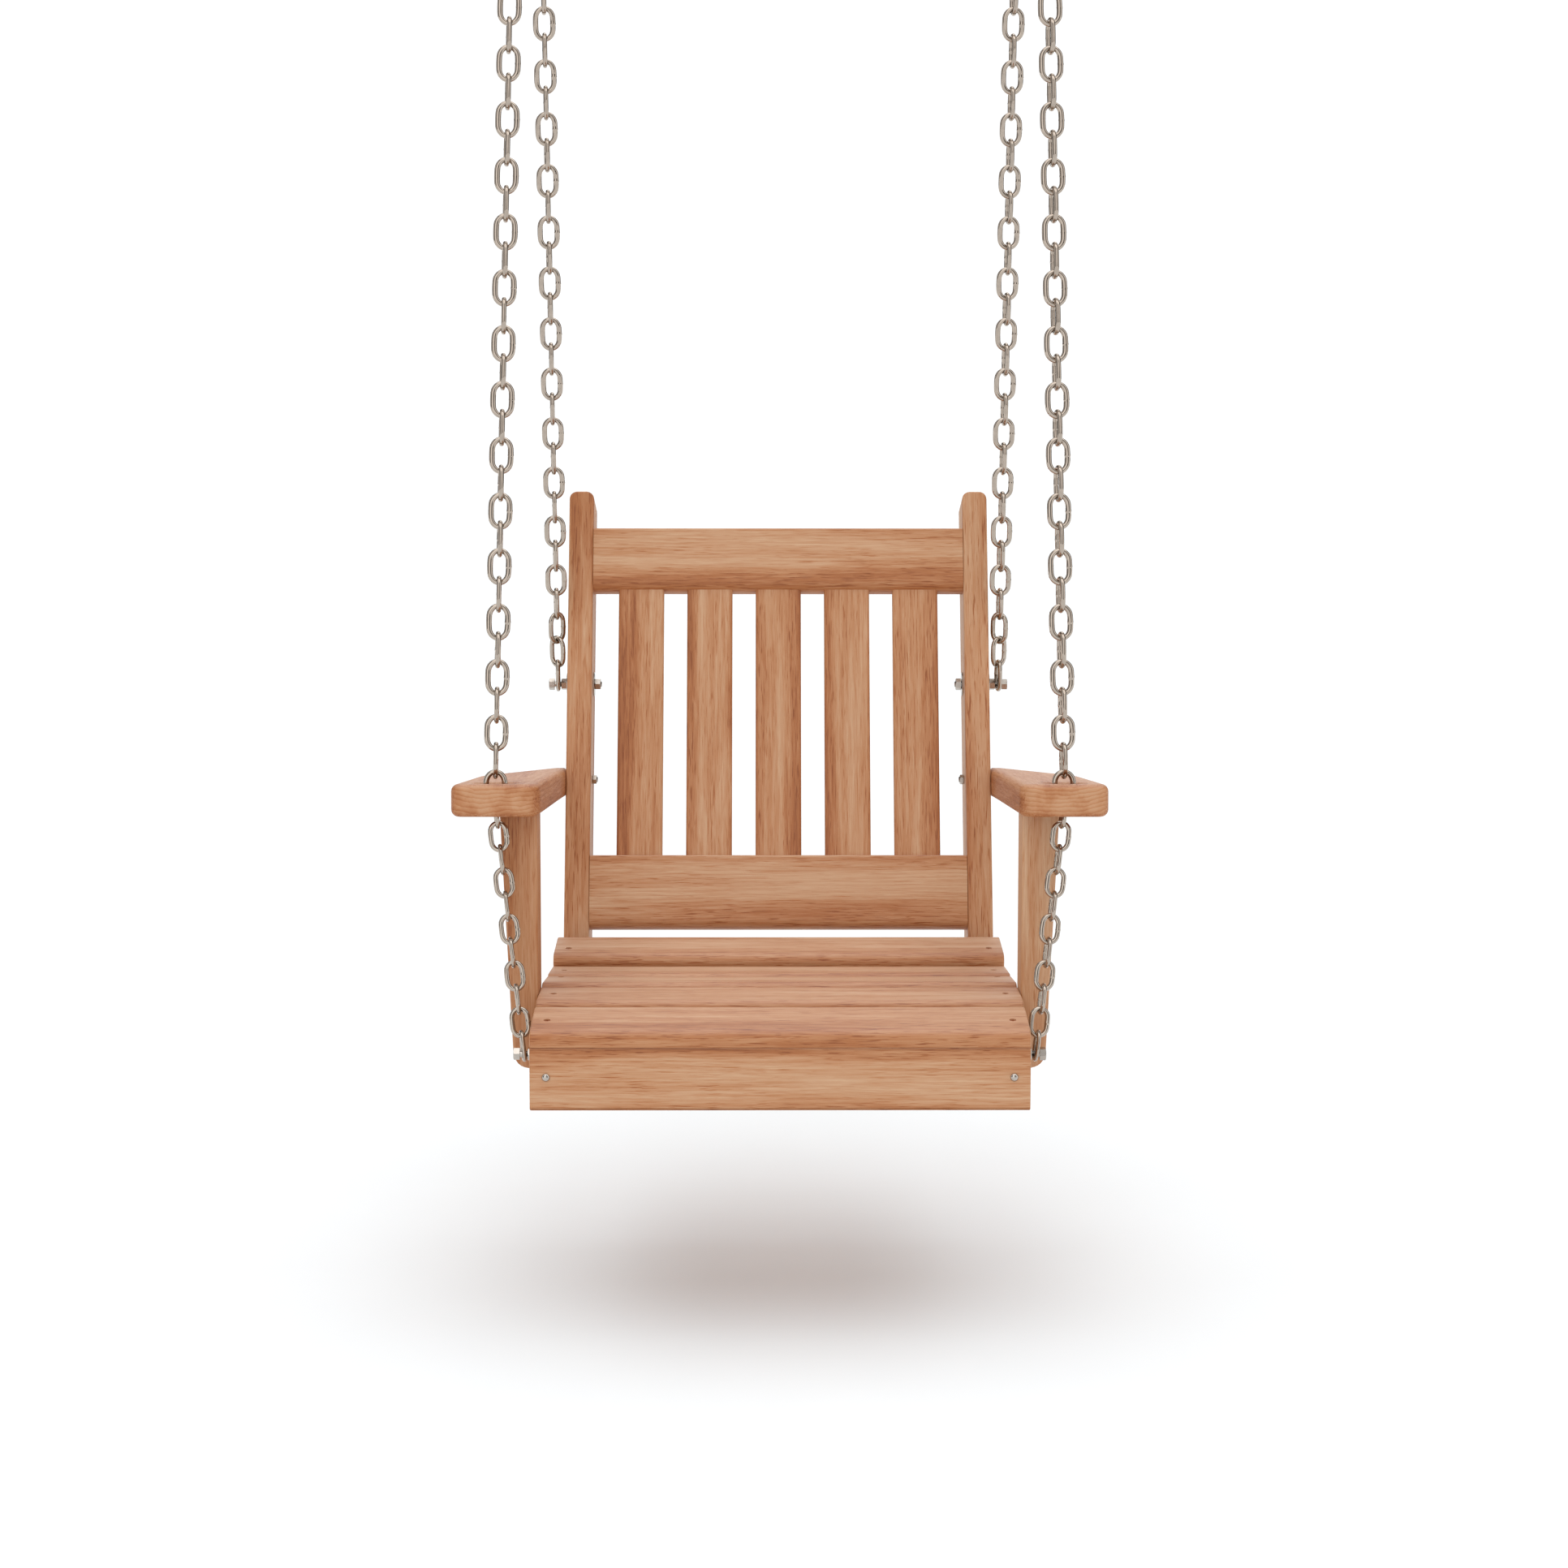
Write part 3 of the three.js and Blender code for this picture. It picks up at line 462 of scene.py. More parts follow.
def rounded_box(size, long_radius, end_radius, centre=(0, 0, 0)):
    """A board along X, its four long edges and then its ends worked round."""
    bm = bmesh.new()
    bmesh.ops.create_cube(bm, size=1, matrix=Matrix.Diagonal((*size, 1)))
    long_edges = [e for e in bm.edges if abs((e.verts[0].co - e.verts[1].co).normalized().x) > 0.9]
    bmesh.ops.bevel(bm, geom=long_edges, offset=long_radius, segments=5, profile=0.5, affect="EDGES")
    half = size[0] / 2
    rims = [e for e in bm.edges if all(abs(abs(v.co.x) - half) < 1e-3 for v in e.verts)]
    bmesh.ops.bevel(bm, geom=rims, offset=end_radius, segments=3, profile=0.5, affect="EDGES")
    bm.transform(Matrix.Translation(centre))
    return bm


def arc(cx, cy, radius, start, end, steps=8):
    """Points on an arc, from start to end in degrees."""
    points = []
    for i in range(steps + 1):
        angle = math.radians(start + (end - start) * i / steps)
        points.append((cx + radius * math.cos(angle), cy + radius * math.sin(angle)))
    return points


def quadratic(p0, p1, p2, steps=8):
    """Points on a Bezier curve, without its start."""
    points = []
    for i in range(1, steps + 1):
        t = i / steps
        points.append([(1 - t) ** 2 * a + 2 * t * (1 - t) * b + t * t * c for a, b, c in zip(p0, p1, p2)])
    return points


def outline_solid(outlines, thickness, radius, resolution=3):
    """A board sawn to an outline, holes included, with its rims worked round, from z = 0 to thickness."""
    curve = bpy.data.curves.new("outline", "CURVE")
    curve.dimensions = "2D"
    curve.fill_mode = "BOTH"
    curve.extrude = thickness / 2 - radius
    curve.bevel_depth = radius
    curve.bevel_resolution = resolution
    curve.offset = -radius
    for points in outlines:
        spline = curve.splines.new("POLY")
        spline.points.add(len(points) - 1)
        spline.use_cyclic_u = True
        for point, (x, y) in zip(spline.points, points):
            point.co = (x, y, 0, 1)
    holder = bpy.data.objects.new("outline", curve)
    bpy.context.scene.collection.objects.link(holder)
    bpy.context.view_layer.update()
    mesh = bpy.data.meshes.new_from_object(holder.evaluated_get(bpy.context.evaluated_depsgraph_get()))
    bpy.data.objects.remove(holder)
    bpy.data.curves.remove(curve)
    bm = bmesh.new()
    bm.from_mesh(mesh)
    bpy.data.meshes.remove(mesh)
    bmesh.ops.remove_doubles(bm, verts=bm.verts, dist=1e-3)
    bm.transform(Matrix.Translation((0, 0, thickness / 2)))
    return bm


def cylinder(radius, start, end, sides=32):
    """A capped cylinder between two points, for cutting holes."""
    axis = Vector(end) - Vector(start)
    bm = bmesh.new()
    bmesh.ops.create_cone(bm, cap_ends=True, segments=sides, radius1=radius, radius2=radius,
                          depth=axis.length)
    turn = axis.to_track_quat("Z", "Y").to_matrix().to_4x4()
    bm.transform(Matrix.Translation((Vector(start) + Vector(end)) / 2) @ turn)
    return bm


def merge(target, source, matrix=None):
    """Adds one bmesh's geometry to another."""
    if matrix:
        source.transform(matrix)
    mesh = bpy.data.meshes.new("part")
    source.to_mesh(mesh)
    source.free()
    target.from_mesh(mesh)
    bpy.data.meshes.remove(mesh)


def cut(bm, tools):
    """Takes the tools out of a solid."""
    cutter = bmesh.new()
    for tool in tools:
        merge(cutter, tool)
    pair = []
    for part in (bm, cutter):
        mesh = bpy.data.meshes.new("part")
        part.to_mesh(mesh)
        part.free()
        holder = bpy.data.objects.new("part", mesh)
        bpy.context.scene.collection.objects.link(holder)
        pair.append(holder)
    modifier = pair[0].modifiers.new("cut", "BOOLEAN")
    modifier.operation = "DIFFERENCE"
    modifier.solver = "EXACT"
    modifier.object = pair[1]
    bpy.context.view_layer.update()
    result = bpy.data.meshes.new_from_object(
        pair[0].evaluated_get(bpy.context.evaluated_depsgraph_get()))
    made = bmesh.new()
    made.from_mesh(result)
    bpy.data.meshes.remove(result)
    for holder in pair:
        mesh = holder.data
        bpy.data.objects.remove(holder)
        bpy.data.meshes.remove(mesh)
    return made


# ------------------------------------------------------------------ boards
FLAT_FACE = 400                      # mm2: faces larger than this are flats, smaller ones are rounded edges


def board(name, bm, matrix, pith=(18, 60)):
    """A wooden piece. bm is in the board's own frame, with X along the grain; the log's middle is placed
    somewhere under or over it, at a distance in the given range."""
    luck = random.Random(name)
    middle = [(min(values) + max(values)) / 2 for values in
              ([vertex.co[axis] for vertex in bm.verts] for axis in (1, 2))]
    log = Matrix.Translation((0, luck.uniform(-15, 15) - middle[0],
                              luck.choice((-1, 1)) * luck.uniform(*pith) - middle[1]))
    bm.transform(log)
    mesh = to_mesh(bm, name)
    mark_edges(mesh, FLAT_FACE)
    mark_board(mesh, name)
    shade(mesh)
    piece = add_object(name + "_board", mesh, CEDAR, matrix @ log.inverted(), [name], "seat", True)
    even_normals(piece)


def turned(x_to, y_to):
    """The matrix whose X and Y axes point along the given directions."""
    x = Vector(x_to).normalized()
    y = Vector(y_to).normalized()
    return Matrix((x, y, x.cross(y))).transposed().to_4x4()


def seat_slats():
    radius, rim = SEAT_SCREW
    pit_radius, pit_floor = SEAT_SCREW_PIT
    heads = bmesh.new()
    for index, (front, rear) in enumerate(SLAT_HEIGHTS):
        tilt = math.atan2(rear - front, SLAT_WIDTH)
        place = (CHAIR @ Matrix.Translation((0, index * SLAT_PITCH, front)) @ Matrix.Rotation(tilt, 4, "X"))
        bm = slat_board(tilt if index == 0 else None)
        row = SEAT_SCREW_ROWS[index] - index * SLAT_PITCH
        spots = [(side * SEAT_SCREW_X, row) for _, side in SIDES]
        pits = [cylinder(pit_radius, (*spot, pit_floor), (*spot, 3), 24) for spot in spots]
        board(f"seat_slat_{index + 1}", cut(bm, pits), place)
        for spot in spots:
            merge(heads, screw_head(radius), CHAIR.inverted() @ place @ Matrix.Translation((*spot, rim)))
    mesh = to_mesh(heads, "seat_screws")
    shade(mesh)
    add_object("seat_screws", mesh, STAINED, CHAIR, [], "seat")


def slat_board(nose_tilt=None):
    """A seat slat with a big round along its front. The first slat's nose is upright in the chair."""
    if nose_tilt is None:
        points = arc(2.5, -SEAT_BOARD + 2.5, 2.5, 270, 180, 3)
        points += arc(SLAT_ROUND, -SLAT_ROUND, SLAT_ROUND, 180, 90, 10)
    else:
        touch = NOSE_RADIUS * math.tan((math.pi / 2 - nose_tilt) / 2)
        points = [(-SEAT_BOARD * math.tan(nose_tilt), -SEAT_BOARD)]
        points += arc(touch, -NOSE_RADIUS, NOSE_RADIUS, 180 - math.degrees(nose_tilt), 90, 10)
    points += arc(SLAT_WIDTH - 5.5, -5.5, 5.5, 90, 0, 5)
    points += arc(SLAT_WIDTH - 3, -SEAT_BOARD + 3, 3, 0, -90, 3)
    bm = outline_solid([list(reversed(points))], SEAT_WIDTH, 2.2)
    bm.transform(turned((0, 1, 0), (0, 0, 1)))
    bm.transform(Matrix.Translation((-SEAT_WIDTH / 2, 0, 0)))
    return bm


def screw_head(radius):
    """A low domed head with a round recess, its rim at z = 0."""
    profile = [(radius, -0.8), (radius, 0), (radius * 0.8, 0.35), (radius * 0.42, 0.5),
               (radius * 0.36, -0.2), (0, -0.5)]
    return lathe(profile, 20)


def lathe(profile, sides, ring=False):
    """A solid turned about Z. The profile's ends are capped, or joined to each other for a ring."""
    bm = bmesh.new()
    rings = []
    for radius, z in profile:
        if radius < 1e-6:
            rings.append([bm.verts.new((0, 0, z))])
            continue
        rings.append([bm.verts.new((radius * math.cos(2 * math.pi * i / sides),
                                    radius * math.sin(2 * math.pi * i / sides), z)) for i in range(sides)])
    for lower, upper in zip(rings, rings[1:] + rings[:1] if ring else rings[1:]):
        for i in range(sides):
            j = (i + 1) % sides
            pairs = ((lower, i), (lower, j), (upper, j), (upper, i))
            corners = list(dict.fromkeys(loop[k % len(loop)] for loop, k in pairs))
            if len(corners) > 2:
                bm.faces.new(corners)
    for end in (rings[0], rings[-1]):
        if len(end) > 1 and not ring:
            bm.faces.new(end)
    bmesh.ops.recalc_face_normals(bm, faces=bm.faces)
    return bm


def apron():
    """The front board, its top planed to the front slat's underside."""
    front, rear = SLAT_HEIGHTS[0]
    tilt = math.atan2(rear - front, SLAT_WIDTH)
    top = front - (SEAT_BOARD + GAP) / math.cos(tilt)
    bm = rounded_box((SEAT_WIDTH, SEAT_BOARD, APRON_HEIGHT + top), 1.8, 1.5,
                     (0, SEAT_BOARD / 2, (top - APRON_HEIGHT) / 2))
    for vertex in bm.verts:
        if vertex.co.z > top - 1:
            vertex.co.z += vertex.co.y * math.tan(tilt)
    board("apron", bm, CHAIR)


def side_rails():
    """The rails under the slats, their tops sawn in facets that carry the slats."""
    lean = math.tan(BACK_LEAN)
    gap = GAP / math.cos(BACK_LEAN)
    drop = SEAT_BOARD + GAP

    def post_face(z):
        return BACK_FOOT[0] + (z - BACK_FOOT[1]) * lean - gap

    points = [(SEAT_BOARD + GAP, SIDE_RAIL_BOTTOM)]
    for index, (front, rear) in enumerate(SLAT_HEIGHTS):
        slope = (rear - front) / SLAT_WIDTH
        tilt = math.atan(slope)
        y = index * SLAT_PITCH
        start = (y + drop * math.sin(tilt), front - drop * math.cos(tilt))
        first = max(SEAT_BOARD + GAP, y - (SLAT_PITCH - SLAT_WIDTH) / 2)
        points.append((first, start[1] + (first - start[0]) * slope))
        last = y + (SLAT_PITCH + SLAT_WIDTH) / 2 - 0.2
        if index < len(SLAT_HEIGHTS) - 1:
            points.append((last, start[1] + (last - start[0]) * slope))
    top = SLAT_HEIGHTS[-1][1] - drop
    points.append((post_face(top), top))
    points.append((post_face(SIDE_RAIL_BOTTOM), SIDE_RAIL_BOTTOM))
    for name, side in SIDES:
        bm = outline_solid([list(reversed(points))], SIDE_RAIL_THICKNESS, 1.5, 2)
        inner = SEAT_WIDTH / 2 - SIDE_RAIL_THICKNESS if side > 0 else -SEAT_WIDTH / 2
        # the board's X runs along the chair's Y, its Y up and its Z across
        place = CHAIR @ Matrix.Translation((inner, 0, 0)) @ turned((0, 1, 0), (0, 0, 1))
        board(f"seat_side_rail_{name}", bm, place)


def rear_stretcher():
    thickness, bottom, top = STRETCHER_SIZE
    half = SEAT_WIDTH / 2 - SIDE_RAIL_THICKNESS - GAP
    bm = rounded_box((2 * half, thickness, top - bottom), 2, 1,
                     (0, STRETCHER_Y + thickness / 2, (top + bottom) / 2))
    board("rear_stretcher", bm, CHAIR)


def posts():
    low, high = POST_SPAN
    length = high - low
    for name, side in SIDES:
        # seen from the front: a bar with a softly rounded top
        half = POST_WIDTH / 2
        shoulder = length - POST_TOP_ROUND
        points = [(0, -half), (shoulder, -half)]
        points += arc(shoulder, -half + POST_TOP_ROUND, POST_TOP_ROUND, -90, 0, 6)
        points += arc(shoulder, half - POST_TOP_ROUND, POST_TOP_ROUND, 0, 90, 6)
        points += [(0, half)]
        bm = outline_solid([points], POST_DEPTH, 3)
        centre = side * (POST_INNER + half)
        # the board's X runs up the post, its Y across and its Z to the back
        place = BACK @ Matrix.Translation((centre, 0, low)) @ turned((0, 0, 1), (1, 0, 0))
        board(f"back_post_{name}", bm, place)


def back_rails():
    for name, (bottom, top, radius) in (("back_top_rail", TOP_RAIL), ("back_bottom_rail", BOTTOM_RAIL)):
        half = POST_INNER - RAIL_END_GAP
        points = arc(radius, bottom + radius, radius, -90, -180, 8)
        points += arc(3, top - 3, 3, 180, 90, 3)
        points += arc(BACK_RAIL_THICKNESS - 3, top - 3, 3, 90, 0, 3)
        points += arc(BACK_RAIL_THICKNESS - 3, bottom + 3, 3, 0, -90, 3)
        bm = outline_solid([list(reversed(points))], 2 * half, 0.3, 1)
        bm.transform(turned((0, 1, 0), (0, 0, 1)))
        bm.transform(Matrix.Translation((-half, 0, 0)))
        board(name, bm, BACK)


def back_slats():
    low = BOTTOM_RAIL[1] - BACK_SLAT_TENON
    high = TOP_RAIL[0] + BACK_SLAT_TENON
    for index in range(5):
        x = (index - 2) * BACK_SLAT_PITCH
        y = BACK_SLAT_SETBACK + BACK_SLAT_THICKNESS / 2
        bm = rounded_box((high - low, BACK_SLAT_WIDTH, BACK_SLAT_THICKNESS), 3.5, 0.5)
        place = BACK @ Matrix.Translation((x, y, (low + high) / 2)) @ turned((0, 0, 1), (1, 0, 0))
        board(f"back_slat_{index + 1}", bm, place)


def mirrored(bm, side):
    """The solid itself for the right side, and turned over in Y for the left."""
    if side < 0:
        bm.transform(Matrix.Scale(-1, 4, (0, 1, 0)))
        bmesh.ops.reverse_faces(bm, faces=bm.faces)
    return bm


def arms():
    rear = ARM_LENGTH
    post = POST_INNER + POST_WIDTH + GAP
    outline = [(326, 0)] + quadratic((326, 0), (297, 0), (297, 27))
    outline += [(post, 400), (post, rear - 6)]
    outline += quadratic((post, rear - 6), (post, rear), (post + 6, rear), 4)
    outline += [(313, rear)] + quadratic((313, rear), (323, rear), (327, rear - 14), 6)
    outline += [(389, 315)] + quadratic((389, 315), (400, 285), (401, 250), 6)
    outline += [(407, 18)] + quadratic((407, 18), (407, 0), (389, 0), 8)
    hole = arc(ARM_HOLE[0], ARM_HOLE[1], ARM_HOLE[2], 0, 360, 40)[:-1]
    for name, side in SIDES:
        # the board's X runs back along the arm, its Y towards -X and its Z up
        swap = [[(y, -x) for x, y in points] for points in (outline, hole)]
        bm = outline_solid(swap, ARM_THICKNESS, 9, 4)
        frame_here = ARMS @ Matrix.Translation((0, 0, -ARM_THICKNESS)) @ turned((0, 1, 0), (-1, 0, 0))
        into = frame_here.inverted() @ BACK
        seat = Vector((ARM_BOLT_SEAT, *ARM_BOLT))
        pocket = cylinder(ARM_BOLT_POCKET, into @ seat, into @ (seat + Vector((60, 0, 0))))
        bm = cut(bm, [pocket])
        board(f"arm_{name}", mirrored(bm, side), frame_here, (150, 240))


def legs():
    inner = LEG_INNER
    foot = inner + LEG_FOOT_WIDTH

    def arm_underside(y):
        drop = (ARM_THICKNESS + GAP) / math.cos(ARM_SLOPE)
        return ARM_FRONT[1] - drop - (y - ARM_FRONT[0]) * math.tan(ARM_SLOPE)

    top = arm_underside(LEG_Y)
    for name, side in SIDES:
        # the board's X runs up the leg, its Y outwards and its Z to the back
        length = top - LEG_BOTTOM
        points = [(0, inner), (0, foot - LEG_FOOT_RADIUS)]
        points += quadratic(points[-1], (0, foot - 1), (LEG_FOOT_RADIUS, foot), 8)
        points += [(length, inner + LEG_TOP_WIDTH), (length, inner)]
        bm = outline_solid([points], LEG_DEPTH, 4)
        # the top is cut to the arm's slope
        low = top - arm_underside(LEG_Y + LEG_DEPTH)
        for vertex in bm.verts:
            if vertex.co.x > length - 4.5:
                vertex.co.x -= low * vertex.co.z / LEG_DEPTH
        place = CHAIR @ Matrix.Translation((0, LEG_Y, LEG_BOTTOM)) @ turned((0, 0, 1), (1, 0, 0))
        board(f"arm_leg_{name}", mirrored(bm, side), place)


seat_slats()
apron()
side_rails()
rear_stretcher()
posts()
back_rails()
back_slats()
arms()
legs()


# ------------------------------------------------------------------ bolts and nuts
def hexagon_solid(height, bore=0.0, flats=BOLT_FLATS):
    """A hexagon from z = 0 to height with the corners of its top turned off, as a nut's or a head's are."""
    bm = bmesh.new()
    apothem = flats / 2
    crown = apothem * 0.94
    steps = 72
    columns = []
    for i in range(steps):
        angle = 2 * math.pi * i / steps
        reach = apothem / math.cos((angle % (math.pi / 3)) - math.pi / 6)
        drop = max(0.0, (reach - crown) * math.tan(math.radians(30)))
        column = [(reach, drop if bore else 0.0), (reach, height - drop), (crown, height)]
        if bore:
            column += [(bore, height - 0.3), (bore, 0.0), (crown, 0.0)]
        columns.append([bm.verts.new((r * math.cos(angle), r * math.sin(angle), z)) for r, z in column])
    for a, b in zip(columns, columns[1:] + columns[:1]):
        for i in range(len(a) if bore else len(a) - 1):
            j = (i + 1) % len(a)
            bm.faces.new((a[i], b[i], b[j], a[j]))
    if not bore:
        centre = bm.verts.new((0, 0, height + 0.5))
        for a, b in zip(columns, columns[1:] + columns[:1]):
            bm.faces.new((a[-1], b[-1], centre))
        bm.faces.new([column[0] for column in columns])
    bmesh.ops.recalc_face_normals(bm, faces=bm.faces)
    return bm


def threaded_shank(length, plain):
    """A shank along Z from 0 to length, threaded after its plain part, with a chamfered tip."""
    profile = [(BOLT_RADIUS, 0), (BOLT_RADIUS, plain)]
    z = plain
    while z + THREAD_PITCH < length - 1:
        profile += [(BOLT_RADIUS - 0.45, z + THREAD_PITCH * 0.4), (BOLT_RADIUS - 0.02, z + THREAD_PITCH)]
        z += THREAD_PITCH
    profile += [(BOLT_RADIUS, length - 0.9), (BOLT_RADIUS - 0.9, length), (0, length)]
    return lathe(profile, 24)


def washer():
    """From z = 0 to its thickness, with its edge softened by the punch."""
    t = WASHER_THICKNESS
    bore = BOLT_RADIUS + GAP
    profile = [(bore, 0), (WASHER_RADIUS, 0), (WASHER_RADIUS, t * 0.6), (WASHER_RADIUS - 0.7, t), (bore, t)]
    return lathe(profile, 40, ring=True)


def outward(x, y, z, side, reverse=False):
    """Local Z along the chair's outward direction, at a point given on the right side."""
    direction = side * (-1 if reverse else 1)
    return Matrix.Translation((side * x, y, z)) @ turned((0, direction, 0), (0, 0, 1))


def hardware(name, parts, matrix):
    bm = bmesh.new()
    for part, place in parts:
        merge(bm, part, place)
    mesh = to_mesh(bm, name)
    shade(mesh, math.radians(32))
    add_object(name + "_steel", mesh, BOLT_STEEL, matrix, [name], "seat")


def bolts():
    post_outer = POST_INNER + POST_WIDTH
    link_room = 2 * WIRE + LINK_PLAY
    rear_nut_end = post_outer + GAP + WASHER_THICKNESS + NUT_HEIGHT
    rear_seat = rear_nut_end + link_room
    front_seat = SEAT_WIDTH / 2 + GAP + NUT_HEIGHT + link_room
    inner_face = POST_INNER - GAP
    rear_tip = inner_face - WASHER_THICKNESS - NUT_HEIGHT - BOLT_TIP
    arm_tip = inner_face - ARM_NUT[1] - BOLT_TIP
    turn = Matrix.Rotation(NUT_TURN, 4, "Z")
    for name, side in SIDES:
        for piece, at, seat, matrix, tip in (
                ("rear_chain_bolt", REAR_BOLT, rear_seat, BACK, rear_tip),
                ("arm_bolt", ARM_BOLT, ARM_BOLT_SEAT + GAP, BACK, arm_tip),
                ("front_chain_bolt", FRONT_BOLT, front_seat, CHAIR, FRONT_BOLT_TIP)):
            head = (hexagon_solid(BOLT_HEAD), outward(seat, *at, side) @ turn)
            shank = (threaded_shank(seat - tip + 0.5, 4), outward(seat + 0.5, *at, side, True))
            hardware(f"{piece}_{name}", [head, shank], matrix)
        bore = BOLT_RADIUS + GAP
        start = post_outer + GAP
        hardware(f"rear_chain_jam_nut_{name}", [
            (washer(), outward(start, *REAR_BOLT, side)),
            (hexagon_solid(NUT_HEIGHT, bore), outward(start + WASHER_THICKNESS, *REAR_BOLT, side)),
        ], BACK)
        hardware(f"rear_chain_inner_nut_{name}", [
            (washer(), outward(inner_face, *REAR_BOLT, side, True)),
            (hexagon_solid(NUT_HEIGHT, bore),
             outward(inner_face - WASHER_THICKNESS, *REAR_BOLT, side, True) @ turn),
        ], BACK)
        nut = hexagon_solid(ARM_NUT[1], bore, ARM_NUT[0])
        hardware(f"arm_bolt_nut_{name}", [(nut, outward(inner_face, *ARM_BOLT, side, True) @ turn)], BACK)
        hardware(f"front_chain_jam_nut_{name}", [
            (hexagon_solid(NUT_HEIGHT, bore), outward(SEAT_WIDTH / 2 + GAP, *FRONT_BOLT, side)),
        ], CHAIR)
        dome = [(0, 3.3), (1.6, 3.15), (3.2, 2.6), (4.4, 1.6), (5, 0.5), (5, GAP)]
        dome += [(2.5, GAP), (2.5, -40), (0, -42)]
        place = Matrix.Translation((side * APRON_SCREW[0], 0, APRON_SCREW[1]))
        hardware(f"apron_screw_{name}", [(lathe(dome, 28), place @ turned((1, 0, 0), (0, 0, 1)))], CHAIR)


bolts()


# ------------------------------------------------------------------ chains
SIDE_SWELL = 0.17
OVAL = 0.13                          # how much narrower a link is at its crowns than at its middle


def link(pitch, wire, width, luck):
    """One oval link in its XZ plane, welded half way along one side."""
    bm = bmesh.new()
    bend = width / 2 - wire
    straight = pitch / 2 + wire - bend
    path = []
    for i in range(13):
        angle = math.pi * i / 12
        path.append((bend * math.cos(angle), straight + bend * math.sin(angle), angle, 1.0))
    path += [(-bend, straight * f, math.pi, 1.0) for f in (0.5, 0, -0.5)]
    for i in range(13):
        angle = math.pi * (1 + i / 12)
        path.append((bend * math.cos(angle), -straight + bend * math.sin(angle), angle, 1.0))
    weld = luck.uniform(0.06, 0.1)
    path += [(bend, straight * f, 2 * math.pi, 1 + weld * swell)
             for f, swell in ((-0.5, 0), (-0.16, 0.2), (-0.06, 1), (0.06, 1), (0.16, 0.2), (0.5, 0))]
    sides = 16
    rings = []
    for x, z, angle, swell in path:
        ring = []
        x *= 1 - OVAL * (z / (straight + bend)) ** 2
        # the forming tools leave the sides a little wider than the crowns
        wide = swell * (1 + SIDE_SWELL * math.cos(angle) ** 2)
        for i in range(sides):
            turn = 2 * math.pi * i / sides
            out = wire * wide * math.cos(turn)
            ring.append(bm.verts.new((x + out * math.cos(angle), wire * swell * math.sin(turn),
                                      z + out * math.sin(angle))))
        rings.append(ring)
    for a, b in zip(rings, rings[1:] + rings[:1]):
        for i in range(sides):
            j = (i + 1) % sides
            bm.faces.new((a[i], a[j], b[j], b[i]))
    bmesh.ops.recalc_face_normals(bm, faces=bm.faces)
    return bm


def aim(origin, direction):
    """Local Z along the direction, local X as near the X axis as it can be."""
    z = direction.normalized()
    y = z.cross(Vector((1, 0, 0))).normalized()
    x = y.cross(z)
    turn = Matrix((x, y, z)).transposed().to_4x4()
    return Matrix.Translation(origin) @ turn


def chain(name, lowest, direction, turns, sizes, nodes, body):
    """A run of links. turns gives each link's turn about the run, in degrees: 0 faces the front."""
    pitch, wire, width = sizes
    luck = random.Random(name)
    bm = bmesh.new()
    here = aim(lowest, direction)
    for index, turn in enumerate(turns):
        place = here @ Matrix.Translation((0, 0, index * pitch))
        turn += luck.uniform(5, 10) if turn == 90 else luck.uniform(-2.5, 2.5)
        place = place @ Matrix.Rotation(math.radians(turn), 4, "Z")
        merge(bm, link(pitch, wire, width, luck), place)
    mesh = to_mesh(bm, name)
    shade(mesh, math.radians(60))
    add_object(name + "_links", mesh, CHAIN_STEEL, CHAIR, nodes, body)


def tube(path, radius, sides=16):
    """A bar of round section along points, with domed ends."""
    bm = bmesh.new()
    points = [Vector(p) for p in path]
    rings = []
    normal = Vector((1, 0, 0)) if abs((points[1] - points[0]).normalized().x) < 0.9 else Vector((0, 1, 0))

    def ring(centre, tangent, size):
        nonlocal normal
        normal = (normal - normal.dot(tangent) * tangent).normalized()
        other = tangent.cross(normal)
        return [bm.verts.new(centre + size * (math.cos(a) * normal + math.sin(a) * other))
                for a in (2 * math.pi * i / sides for i in range(sides))]

    def tangent_at(i):
        a = points[max(i - 1, 0)]
        b = points[min(i + 1, len(points) - 1)]
        return (b - a).normalized()

    start, end = tangent_at(0), tangent_at(len(points) - 1)
    for step in (80, 55, 28):
        a = math.radians(step)
        rings.append(ring(points[0] + start * radius * (1 - math.sin(a)), start, radius * math.cos(a)))
    for i in range(1, len(points) - 1):
        rings.append(ring(points[i], tangent_at(i), radius))
    for step in (28, 55, 80):
        a = math.radians(step)
        rings.append(ring(points[-1] - end * radius * (1 - math.sin(a)), end, radius * math.cos(a)))
    for a, b in zip(rings, rings[1:]):
        for i in range(sides):
            j = (i + 1) % sides
            bm.faces.new((a[i], a[j], b[j], b[i]))
    bm.faces.new(rings[0])
    bm.faces.new(rings[-1])
    bmesh.ops.recalc_face_normals(bm, faces=bm.faces)
    return bm


def hook_path():
    """The S of a hook in its YZ plane; the lower bend passes through the origin."""
    low, high = HOOK_BOTTOM, HOOK_BOTTOM + HOOK_CENTRES
    points = [(0, y, z) for y, z in arc(0, low, HOOK_BOTTOM, 200, 360, 20)]
    last = points[-1]
    upper = [(0, y, z) for y, z in arc(0, high, HOOK_TOP, 180, -20, 24)]
    first = upper[0]
    for i in range(1, 10):
        f = i / 10
        ease = f * f * (3 - 2 * f)
        points.append((0, last[1] + (first[1] - last[1]) * ease, last[2] + (first[2] - last[2]) * f))
    return points + upper


